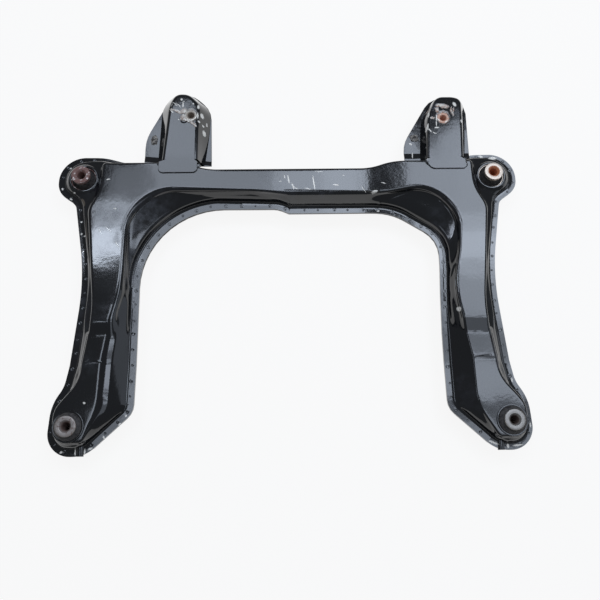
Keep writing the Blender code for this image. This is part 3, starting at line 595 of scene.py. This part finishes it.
# %% [markdown]
# ## Sheet thickness and bush seats
#
# The skin becomes a sheet of 2.5 mm by growing downwards, so the outer face stays where the plan
# puts it. The bush housings pass through both shells, and the press punches a round seat for each.
# Four drums joined in one cutter make the seats with a single boolean. The cutter is a little wider
# than the tube, which leaves the thin dark line that a real fit has.

# %% Cut the bush seats
def drum(radius, low, high, centre, segments=96):
    """An upright round cutter between two heights, in millimetres."""
    cutter = bmesh.new()
    bmesh.ops.create_cone(cutter, cap_ends=True, segments=segments, radius1=radius * MM,
                          radius2=radius * MM, depth=(high - low) * MM,
                          matrix=Matrix.Translation((centre.x * MM, centre.y * MM, (low + high) / 2 * MM)))
    return cutter


def joined(*parts):
    """Gathers several bmeshes in one."""
    whole = bmesh.new()
    for part in parts:
        mesh = bpy.data.meshes.new("part")
        part.to_mesh(mesh)
        part.free()
        whole.from_mesh(mesh)
        bpy.data.meshes.remove(mesh)
    return whole


def thicken(piece):
    """Gives a skin the thickness of the sheet, grown away from the side that its faces look at."""
    wall = piece.modifiers.new("sheet", "SOLIDIFY")
    wall.thickness = SHEET * MM
    wall.offset = -1.0
    wall.use_quality_normals = True


def cut_away(piece, cutter):
    """Cuts a shape out of a piece, and deletes the cutter once the result is in the mesh."""
    tool = finished("cutter", cutter, PRESSING_PAINT)
    boolean = piece.modifiers.new("cut", "BOOLEAN")
    boolean.operation = "DIFFERENCE"
    boolean.solver = "EXACT"
    boolean.object = tool
    settled(piece)
    bpy.data.objects.remove(tool)
    return piece


HOUSING_RADIUS, GAP = 26.0, 0.3
UNDER_ALL, ABOVE_ALL = 5, 80
thicken(upper_pressing)
cut_away(upper_pressing, joined(*(drum(HOUSING_RADIUS + GAP, UNDER_ALL, ABOVE_ALL, centre)
                                  for centre in CORNERS.values())))
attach(upper_pressing, "root")
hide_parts("upper_shell")

# %% [markdown]
# ## The lower pressing and the tongues' base plates
#
# These have the right shape in the CAD model already. A node's mesh is loose triangles, so each is
# copied, merged and shaded smooth. The base plates' sharp rims get a small bevel, as a shear
# leaves. The plates rise in a soft fold to lap on the crossbar's flange, and gloss shows the fold as
# a dark band. Planes cut a plate into narrow strips there, and each strip is lifted to its height.

# %% Merged copies
RIM_BEVEL, SHARP_ANGLE = 0.5, math.radians(60)
FOLD_WIDTH, FOLD_RISE, FOLD_STEPS = 12.0, 2.1, 8


def fold_up(working, place, normal):
    """Lifts the rear of a plate along a soft fold, which starts on a line with the given normal."""
    for step in range(FOLD_STEPS + 1):
        line = place - normal * FOLD_WIDTH * step / FOLD_STEPS
        bmesh.ops.bisect_plane(working, geom=[*working.verts, *working.edges, *working.faces], dist=MERGE,
                               plane_co=lift(line, 0.0) * MM, plane_no=lift(normal, 0.0))
    for vert in working.verts:
        share = min(max((place - vert.co.xy / MM).dot(normal) / FOLD_WIDTH, 0.0), 1.0)
        vert.co.z += FOLD_RISE * MM * share * share * (3 - 2 * share)


def merged_copy(node_name, name, paint, fold=None):
    """A node's mesh as one merged skin. A base plate, which has a fold, also gets a bevelled rim."""
    working = bmesh.new()
    working.from_mesh(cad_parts[node_name].data)
    bmesh.ops.remove_doubles(working, verts=working.verts, dist=2 * MERGE)
    bmesh.ops.dissolve_limit(working, angle_limit=math.radians(0.5), verts=working.verts, edges=working.edges)
    if fold:
        sharp = [edge for edge in working.edges if len(edge.link_faces) == 2
                 and edge.calc_face_angle() > SHARP_ANGLE]
        bmesh.ops.bevel(working, geom=sharp, affect="EDGES", offset=RIM_BEVEL * MM, segments=2,
                        profile=0.5, material=-1)
        fold_up(working, *fold)
    piece = finished(name, working, paint)
    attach(piece, "root")
    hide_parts(node_name)


merged_copy("lower_shell", "lower_pressing", PRESSING_PAINT)
merged_copy("left_tongue_plate", "left_base_plate", LEFT_TONGUE_PAINT,
            (Vector((-260.0, 207.0)), Vector((10.5, 110.0)).normalized()))
merged_copy("right_tongue_plate", "right_base_plate", RIGHT_TONGUE_PAINT,
            (Vector((240.0, 209.5)), Vector((0.0, 1.0))))

# %% [markdown]
# ## The tongues' hats
#
# Each tongue is a pressed hat, open at the rear, whose tab laps onto the crossbar. It is lofted
# as the shell is, between the line of its feet and the crease of its top.

# %% Hats
Tongue = namedtuple("Tongue", "name paint bolt foot crease lap")
LEFT_TONGUE = Tongue(
    "left", LEFT_TONGUE_PAINT, Vector((-181.0, 276.0)),
    ((-64, 29, 0), (-60, 152, 16), (-40, 180, 12), (-3, 180, 15), (33.5, 146.5, 18), (32, 100, 20),
     (24, 29, 0)),
    ((-49, 29, 0), (-40, 140, 14), (-29, 164, 10), (-6, 164, 10), (15, 142, 12), (13, 100, 10), (14, 29, 0)),
    ((14, 24, 0), (14, 3, 8), (-56, 3, 8), (-55, 24, 0)))
RIGHT_TONGUE = Tongue(
    "right", RIGHT_TONGUE_PAINT, Vector((291.5, 267.0)),
    ((-43, 29, 0), (-36, 118, 18), (-10, 169, 18), (26, 169, 8), (50, 168, 20), (48, 100, 20), (43, 42, 0)),
    ((-35, 29, 0), (-29, 112, 12), (-10, 155, 12), (20, 155, 8), (36, 150, 14), (35, 100, 15), (31, 30, 0)),
    ((34, 24, 0), (36, 7, 7), (-29, 7, 8), (-38, 24, 0)))
HAT_FOOT_Z, HAT_TOP_Z, SPACER_RADIUS = 43.75, 73.95, 11.0
SLOT_AT, SLOT_RADIUS, SLOT_WIDTH, SLOT_START = Vector((-193.5, 266.5)), 6.0, 2.6, 3.5


def tongue_line(tongue, corners, round_steps, run_steps):
    """A line of the tongue. Its corners count from the bolt in x and from the front bushes in y."""
    steps = [(0, run_steps)] + [(round_steps, run_steps)] * (len(corners) - 2) + [(0, 0)]
    return rounded([(Vector((x + tongue.bolt.x, y + FRONT_BUSH.y)), reach) for x, y, reach in corners], steps)


def spun(working, profile, centre, steps, angle=math.tau):
    """Spins a profile round an upright axis, and merges what meets."""
    bmesh.ops.spin(working, geom=profile, axis=(0.0, 0.0, 1.0), cent=(centre.x * MM, centre.y * MM, 0.0),
                   angle=angle, steps=steps, use_merge=angle == math.tau)
    bmesh.ops.remove_doubles(working, verts=working.verts, dist=MERGE)
    bmesh.ops.recalc_face_normals(working, faces=working.faces)


def half_moon():
    """A cutter for the slot beside the left bolt: a small upright face, spun by 140 degrees."""
    slot = bmesh.new()
    outwards = Vector((math.cos(SLOT_START), math.sin(SLOT_START)))
    corners = [slot.verts.new(lift(SLOT_AT + outwards * (SLOT_RADIUS + side * SLOT_WIDTH / 2), height) * MM)
               for side, height in ((-1, 68), (1, 68), (1, ABOVE_ALL), (-1, ABOVE_ALL))]
    face = slot.faces.new(corners)
    spun(slot, [face, *face.edges, *corners], SLOT_AT, 14, math.radians(140))
    bmesh.ops.holes_fill(slot, edges=slot.edges, sides=0)
    bmesh.ops.recalc_face_normals(slot, faces=slot.faces)
    return slot


def build_hat(tongue):
    """Lofts a hat from the line of its feet to its crease, fills its top and cuts it to fit."""
    hat = bmesh.new()
    columns = []
    for (foot, _), (crease, along) in zip(tongue_line(tongue, tongue.foot, 8, 6),
                                          tongue_line(tongue, tongue.crease, 8, 6)):
        below, corner = lift(foot, HAT_FOOT_Z), lift(crease, HAT_TOP_Z)
        skirt = below + (below - corner) * 0.1
        inner = corner - lift(along.orthogonal(), 0.0) * 6.0
        columns.append([place for place, _ in rounded(
            [(skirt, 0.0), (corner, 4.5), (inner, 0.0)], ((0, 4), (6, 1), (0, 0)))])
    rows = len(columns[0])
    rim = laid_grid(hat, columns, closed=False)[rows - 1::rows]
    tab = [hat.verts.new(lift(place, HAT_TOP_Z) * MM) for place, _ in tongue_line(tongue, tongue.lap, 8, 1)]
    hat.faces.new((rim + tab)[::-1])
    bmesh.ops.recalc_face_normals(hat, faces=hat.faces)
    face_up(hat)
    bmesh.ops.triangulate(hat, faces=[face for face in hat.faces if len(face.verts) > 4])
    piece = finished(tongue.name + "_hat", hat, tongue.paint)
    thicken(piece)
    skirt_trim = drum(240, UNDER_ALL, HAT_FOOT_Z, tongue.bolt)
    bolt_hole = drum(SPACER_RADIUS + GAP, HAT_FOOT_Z + SHEET, ABOVE_ALL, tongue.bolt, 64)
    slots = [half_moon()] if tongue is LEFT_TONGUE else []
    cut_away(piece, joined(skirt_trim, bolt_hole, *slots))
    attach(piece, "root")
    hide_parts(tongue.name + "_tongue_hat")


for tongue in (LEFT_TONGUE, RIGHT_TONGUE):
    build_hat(tongue)

# %% [markdown]
# ## Bushes
#
# A bush is turned work round one bolt: a housing tube, an outer sleeve, a rubber block and an inner
# sleeve with a head. The bore's mouth is countersunk to guide the bolt in. Round each front tube
# lies a sloping collar, where the ear is drawn up to the tube and welded to it. Each profile is a
# closed polygon of radius and height with rounded corners, spun round the bush's axis. A spin makes
# the section once, and keeps it the same all the way round, as a lathe does.

# %% Turned pieces
def turned(name, node_name, profile, material, centre, steps=96):
    """Spins a closed profile of (radius, height, rounding) corners into a piece that may replace a node."""
    start = Vector(((profile[0][0] + profile[-1][0]) / 2, (profile[0][1] + profile[-1][1]) / 2))
    corners = [(start, 0.0)] + [(Vector((r, z)), reach) for r, z, reach in profile] + [(start, 0.0)]
    counts = [(0, 1)] + [(3 if reach else 0, 1) for _, _, reach in profile] + [(0, 0)]
    work = bmesh.new()
    points = [work.verts.new(((centre.x + place.x) * MM, centre.y * MM, place.y * MM))
              for place, _ in rounded(corners, counts)]
    edges = [work.edges.new(pair) for pair in zip(points, points[1:])]
    spun(work, points + edges, centre, steps)
    piece = finished(name, work, material, 35.0)
    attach(piece, "root")
    if node_name:
        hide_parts(node_name)


# Radii of the tube, the ring, the block and the core, then the heights that all four bushes share.
TUBE_BORE, RING_RADIUS, RING_BORE, BLOCK_RADIUS, BLOCK_BORE = 23.5, 23.2, 21.6, 21.3, 11.3
CORE_RADIUS, HEAD_RADIUS, FOOT_RADIUS, BOLT_RADIUS, COUNTERSINK = 11.0, 17.0, 16.0, 7.0, 10.0
TUBE_LOW, BLOCK_LOW, FOOT_TOP = 10.35, 10.65, 4.5
for name, centre in CORNERS.items():
    front = name.startswith("front")
    rim_z = 57.65 if front else 66.65
    head_top = 73.15 if front else 78.15
    under = head_top - 4.5
    turned(name + "_tube", name + "_housing", [
        (HOUSING_RADIUS, rim_z, 0.5), (HOUSING_RADIUS, TUBE_LOW, 0.5), (TUBE_BORE, TUBE_LOW, 0.5),
        (TUBE_BORE, rim_z, 0.5)], PRESSING_PAINT, centre)
    turned(name + "_ring", name + "_outer_sleeve", [
        (RING_RADIUS, rim_z - 4.0, 0.5), (RING_RADIUS, TUBE_LOW, 0.5), (RING_BORE, TUBE_LOW, 0.5),
        (RING_BORE, rim_z - 4.0, 0.5)], STEELS[name], centre)
    if front:
        turned(name + "_collar", None, [(HOUSING_RADIUS, rim_z - 0.4, 0.3), (32.0, 51.8, 0.3),
                                        (HOUSING_RADIUS, 50.0, 0.3)], PRESSING_PAINT, centre)
        block_top = under - 5.3
        block = [(14.5, block_top, 1.0), (19.3, rim_z - 5.0, 2.0), (BLOCK_RADIUS, rim_z - 7.0, 1.5)]
        neck = [(13.0, under, 0.5), (13.0, under - 2.5, 0.5), (15.5, under - 2.5, 0.8),
                (15.5, under - 5.0, 0.8), (CORE_RADIUS, under - 5.0, 0.5)]
    else:
        block_top = under - 0.3
        block = [(16.5, block_top, 1.0), (21.5, rim_z + 3.0, 2.0), (RING_RADIUS, rim_z + 1.0, 1.0),
                 (RING_RADIUS, rim_z - 3.7, 0.5), (BLOCK_RADIUS, rim_z - 3.7, 0.5)]
        neck = [(CORE_RADIUS, under, 0.5)]
    block += [(BLOCK_RADIUS, BLOCK_LOW, 1.0), (BLOCK_BORE, BLOCK_LOW, 1.0), (BLOCK_BORE, block_top, 0.5)]
    turned(name + "_block", name + "_rubber", block, RUBBER, centre)
    turned(name + "_core", name + "_inner_sleeve", [
        (HEAD_RADIUS, head_top, 0.9), (HEAD_RADIUS, under, 0.7), *neck, (CORE_RADIUS, FOOT_TOP, 0.5),
        (FOOT_RADIUS, FOOT_TOP, 0.7), (FOOT_RADIUS, 0.0, 0.7), (BOLT_RADIUS, 0.0, 0.5),
        (BOLT_RADIUS, head_top - 4.0, 0.6), (COUNTERSINK, head_top, 0.5)], STEELS[name], centre)
for tongue, rust in ((LEFT_TONGUE, (0xA89C90, 0.2, 8.6)), (RIGHT_TONGUE, (0xE0B29C, 0.7, 7.8))):
    turned(tongue.name + "_spacer", tongue.name + "_tongue_spacer", [
        (SPACER_RADIUS, HAT_TOP_Z, 0.6), (SPACER_RADIUS, HAT_FOOT_Z, 0.6), (6.25, HAT_FOOT_Z, 0.6),
        (6.25, HAT_TOP_Z, 0.8)],
        turned_steel(tongue.name + "_bolt_seat_steel", tongue.bolt, 0xCFC9BF, *rust), tongue.bolt, 64)

# %% [markdown]
# ## Spot welds
#
# The two flanges are joined by spot welds, one about every 27 millimetres. The electrode leaves a
# round dimple with a low rim. It is spun once, and copied to each place along the flange.

# %% Spot welds
def weld_places(pitch=27.0, inset=6.2):
    """Places along the middle of the flange, evenly spaced, leaving out the covered front."""
    places, travelled = [], 0.0
    for here, there in zip(ring, ring[1:] + ring[:1]):
        travelled += (there.edge - here.edge).length
        if travelled >= pitch:
            travelled -= pitch
            spot = there.edge + there.inward * inset
            if not (spot.y > 175 and abs(spot.x) < 350):
                places.append(spot)
    return places


dimple = bmesh.new()
outline = [(3.4, -0.1), (2.6, 0.2), (1.9, 0.24), (1.3, 0.05), (0.0, 0.02)]
points = [dimple.verts.new((radius * MM, 0.0, height * MM)) for radius, height in outline]
edges = [dimple.edges.new(pair) for pair in zip(points, points[1:])]
spun(dimple, points + edges, Vector((0.0, 0.0)), 14)
face_up(dimple)
dimple_mesh = bpy.data.meshes.new("dimple")
dimple.to_mesh(dimple_mesh)
dimple.free()
welds = bmesh.new()
random.seed(4)
for spot in weld_places():
    before = set(welds.verts)
    welds.from_mesh(dimple_mesh)
    fresh = [vert for vert in welds.verts if vert not in before]
    size = random.uniform(0.6, 1.2)
    shift = Vector((random.uniform(-1, 1), random.uniform(-1, 1)))
    placed = Matrix.Translation(lift(spot + shift, FLANGE_Z) * MM)
    bmesh.ops.transform(welds, verts=fresh, matrix=placed @ Matrix.Diagonal((size, size, 1.0, 1.0)))
spot_welds = finished("spot_welds", welds, PRESSING_PAINT, 80.0)
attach(spot_welds, "root")
print("spot welds:", len(weld_places()))

# %% [markdown]
# ## Drain channels
#
# Rain gets into any hollow section of a car, so a half-round channel is pressed into each foot's
# flange and lets it out. Here a short tube lies on the flange, and its lower half is cut off.

# %% Drain channels
CHANNEL_X, CHANNEL_RADIUS, CHANNEL_END, CHANNEL_START = 350.5, 6.0, -338.3, -316.0
for hand, side in (("left", -1), ("right", 1)):
    channel = bmesh.new()
    lying = Matrix.Translation((side * CHANNEL_X * MM, (CHANNEL_END + CHANNEL_START) / 2 * MM,
                                (FLANGE_Z - SHEET) * MM)) @ Matrix.Rotation(math.pi / 2, 4, "X")
    bmesh.ops.create_cone(channel, cap_ends=False, segments=48, radius1=CHANNEL_RADIUS * MM,
                          radius2=CHANNEL_RADIUS * MM, depth=(CHANNEL_START - CHANNEL_END) * MM, matrix=lying)
    bmesh.ops.bisect_plane(channel, geom=[*channel.verts, *channel.edges, *channel.faces], dist=MERGE,
                           plane_co=(0.0, 0.0, (FLANGE_Z - 1.0) * MM), plane_no=(0.0, 0.0, 1.0),
                           clear_inner=True)
    drain = finished(hand + "_drain_channel", channel, PRESSING_PAINT)
    thicken(drain)
    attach(settled(drain), "root")

# %% [markdown]
# ## Weld beads
#
# The tongues' tabs are welded to the crossbar by hand. A bead is a tube that follows the edge, and
# its thickness wanders as the welder's hand does. The same function makes the narrow ridge that
# runs on the crossbar's top beside the rear crease, and ends in a drop-shaped swelling.

# %% Beads
def bead(name, path, radii, seed, material):
    """A closed tube along (place, direction) pairs, sunk into the surface that carries it."""
    columns = []
    for index, (place, along) in enumerate(path):
        size = radii[index] * (1 + 0.3 * noise.noise(Vector((index * 0.7, seed, 0.3))))
        across = along.normalized().orthogonal()
        columns.append([lift(place.xy + across * size * math.cos(turn), place.z + size * math.sin(turn))
                        for turn in (math.tau * step / 12 for step in range(13))])
    tube = bent_grid(columns, closed=False)
    bmesh.ops.holes_fill(tube, edges=tube.edges, sides=0)
    bmesh.ops.recalc_face_normals(tube, faces=tube.faces)
    piece = finished(name, tube, material, 60.0)
    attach(piece, "root")


CREST_Z = FLANGE_Z + CREST_RISE
for seed, tongue in enumerate((LEFT_TONGUE, RIGHT_TONGUE)):
    line = [(lift(place, CREST_Z), along) for place, along in tongue_line(tongue, tongue.lap, 10, 16)]
    bead(tongue.name + "_tab_weld", line, [1.25] * len(line), seed, PRESSING_PAINT)
# The drop looks bright because a painted highlight lies over it in the pressing's paint.
RIDGE_START, RIDGE_END, RIDGE_STEPS = Vector((-10.0, 124.0)), Vector((166.0, 120.0)), 36
line = [(lift(RIDGE_START.lerp(RIDGE_END, step / RIDGE_STEPS), CREST_Z - 0.5), RIDGE_END - RIDGE_START)
        for step in range(RIDGE_STEPS + 1)]
swelling = [0.5] + [1.4] * (RIDGE_STEPS - 5) + [2.0, 3.2, 3.8, 3.2, 1.4]
bead("crossbar_ridge", line, swelling, 5, PRESSING_PAINT)
print("points along the ridge:", len(line))

# %% [markdown]
# ## Lumps of weld
#
# A plug weld fills a hole in the tongue's base plate, and leaves a rough brown button where the
# heat burnt the paint. Where a bead was started or stopped, the metal stands in a small lump. Each
# is a ball of triangles, flattened, and shaken by noise. The crust is grained as the rubber is, in
# paler colours. Its real grain is a millimetre, drawn as 5 mm so that it shows.

# %% Lumps
BURNT_WELD = grained("burnt_weld_metal", 5, (0.42, 0.6), (0x2E2926, 0xB4AEA6), (0.35, 0.7), 0.6, 0.3)


def lump(name, centre, radii, seed, material):
    """A flattened ball of triangles, shaken by a coarse and a fine noise."""
    ball = bmesh.new()
    bmesh.ops.create_icosphere(ball, subdivisions=4, radius=1.0)
    for vert in ball.verts:
        vert.co *= 1 + 0.35 * noise.noise(vert.co * 1.6 + Vector((seed, 0.0, 0.0)))
        vert.co *= 1 + 0.12 * noise.noise(vert.co * 4.5 + Vector((0.0, seed, 0.0)))
    bmesh.ops.transform(ball, verts=ball.verts, matrix=Matrix.Translation(centre * MM)
                        @ Matrix.Diagonal((*(radius * MM for radius in radii), 1.0)))
    bmesh.ops.recalc_face_normals(ball, faces=ball.faces)
    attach(finished(name, ball, material, 80.0), "root")


PLATE_TOP = 43.45
LUMPS = (
    ("left_plug_weld", (-253.0, 241.5, PLATE_TOP), (6.6, 9.2, 2.2), BURNT_WELD),
    ("right_plug_weld", (241.0, 242.0, PLATE_TOP), (7.5, 7.2, 2.2), BURNT_WELD),
    ("left_tab_lump", (-165.5, 174.0, CREST_Z), (4.5, 5.5, 1.8), PRESSING_PAINT),
    ("left_tab_lump_outer", (-237.0, 178.0, CREST_Z), (3.0, 4.0, 1.6), PRESSING_PAINT),
    ("right_tab_lump", (257.0, 178.0, CREST_Z), (4.5, 6.5, 2.4), PRESSING_PAINT),
    ("right_tab_lump_outer", (327.0, 172.0, CREST_Z), (3.2, 5.5, 2.2), PRESSING_PAINT),
    ("right_wall_lump", (322.0, 196.0, PLATE_TOP), (5.0, 4.0, 3.0), BURNT_WELD))
for seed, (name, centre, radii, material) in enumerate(LUMPS):
    lump(name, Vector(centre), radii, seed * 7.3, material)
print("lumps of weld:", len(LUMPS))

# %% [markdown]
# ## Floor and light
#
# The photograph was taken on white, and black gloss paint shows nothing but what it mirrors. So the
# floor is pale, and its material is white to the rays that the camera, a mirror or a clear piece
# sends out. A tenth of the plain diffuse floor is left in the mix, and that part keeps the shadow.
# The ceiling is a set of soft panels side by side, each named after the face that mirrors it. A
# panel's brightness is the grey of that face, which is how a photographer lights gloss: not by
# shining on it, but by choosing what it sees. Everything else in the room is dim and slightly blue.

# %% Floor
FLOOR_REACH, WHITE_SHARE = 6.0, 0.9
floor_mesh = bmesh.new()
bmesh.ops.create_grid(floor_mesh, x_segments=1, y_segments=1, size=FLOOR_REACH)
floor_paint, tree, shader, place = new_material("studio_floor")
set_inputs(tree, shader, Base_Color=linear(0xE9E9E9), Roughness=0.9)
rays = add_node(tree, "LightPath").outputs
seen = add_node(tree, "Math", {"operation": "MAXIMUM"}, _0=rays["Is Camera Ray"], _1=rays["Is Glossy Ray"])
seen = add_node(tree, "Math", {"operation": "MAXIMUM"}, _0=seen, _1=rays["Is Transmission Ray"])
seen_white = add_node(tree, "Math", {"operation": "MULTIPLY"}, _0=seen, _1=WHITE_SHARE)
white = add_node(tree, "Emission", Color=(1.0, 1.0, 1.0, 1.0), Strength=1.0)
mix = add_node(tree, "MixShader", _0=seen_white, _1=shader, _2=white)
set_inputs(tree, tree.nodes["Material Output"], Surface=mix)
floor = finished("floor", floor_mesh, floor_paint)

# %% Lamps
CEILING = 2.2
COOL_WHITE = (0.84, 0.94, 1.10)


def panel(name, left, right, rear, front, radiance):
    """A soft light panel in the ceiling, between two x and two y in metres, of a given radiance."""
    light = bpy.data.lights.new(name, "AREA")
    light.shape = "RECTANGLE"
    light.color = COOL_WHITE
    light.size, light.size_y = right - left, front - rear
    light.energy = radiance * light.size * light.size_y * math.pi
    lamp = bpy.data.objects.new(name, light)
    lamp.location = ((left + right) / 2, (rear + front) / 2, CEILING)
    scene.collection.objects.link(lamp)
    return lamp


PANELS = [
    ("right_ear", 0.96, 1.42, 0.97, 1.56, 4.4),
    ("right_crossbar", 0.64, 0.96, 0.97, 1.40, 4.2),
    ("right_plate", 0.64, 0.77, 1.40, 1.54, 4.4),
    ("right_knee", 0.70, 1.60, 0.70, 0.88, 6.9),
    ("right_knee_rear", 0.70, 1.60, 0.88, 0.97, 5.7),
    ("right_knee_front", 0.80, 1.50, 0.62, 0.70, 5.2),
    ("right_leg", 0.80, 1.50, 0.40, 0.62, 3.9),
    ("right_leg_front", 0.80, 1.50, 0.31, 0.40, 3.3),
    ("right_ramp", 0.72, 1.40, 0.15, 0.31, 2.0),
    ("right_foot", 0.58, 1.40, -0.05, 0.15, 3.9),
    ("right_toe", 0.70, 1.40, -0.32, -0.17, 3.0),
    ("right_patch", 0.70, 1.40, -1.10, -0.32, 0.9),
    ("rear_bush", 0.70, 1.40, -0.17, -0.05, 0.9),
    ("right_tongue", 0.89, 0.96, 1.40, 1.51, 4.2),
    ("right_tongue_left", 0.77, 0.89, 1.40, 1.50, 1.3),
    ("right_bay_crease", 0.28, 0.62, 0.52, 0.82, 5.0),
    ("left_bay_crease", -0.64, -0.07, 0.50, 0.86, 5.0),
    ("left_toe", -1.03, -0.87, -0.30, -0.08, 2.1),
    ("left_toe_end", -1.09, -1.03, -0.30, -0.20, 2.1),
    ("left_flange", -0.87, -0.66, -0.40, 0.86, 3.3),
    ("left_crossbar", -0.78, -0.07, 0.86, 1.33, 3.1),
    ("crossbar", -0.07, 0.20, 0.86, 1.33, 4.8),
    ("crossbar_end", 0.20, 0.43, 0.90, 1.40, 5.7),
    ("left_tongue", -0.86, -0.40, 1.33, 1.66, 3.4),
    ("left_shoulder", -1.03, -0.78, 1.05, 1.33, 1.8),
    ("left_knee", -1.12, -0.80, 0.90, 1.05, 6.0),
    ("left_leg", -1.13, -0.87, 0.72, 0.90, 11.0)]
for name, *placing in PANELS:
    panel("panel_over_" + name, *placing)
side = panel("panel_beside", -1.2, 1.2, -0.45, 0.45, 0.55)
side.location, side.rotation_euler = (2.6, 0.0, 0.9), (0.0, math.radians(80.0), 0.0)
world = bpy.data.worlds.new("studio")
world.use_nodes = True
set_inputs(world.node_tree, world.node_tree.nodes["Background"], Color=(0.8, 0.85, 0.9, 1.0), Strength=0.18)
scene.world = world
scene.view_settings.view_transform = "Standard"

# %% [markdown]
# ## The lamps
#
# The dressed part may not outgrow the CAD model, because other parts meet its faces. The
# number of lamps in the scene is printed.

# %% Count the lamps
print("lamps:", len(bpy.data.lights))
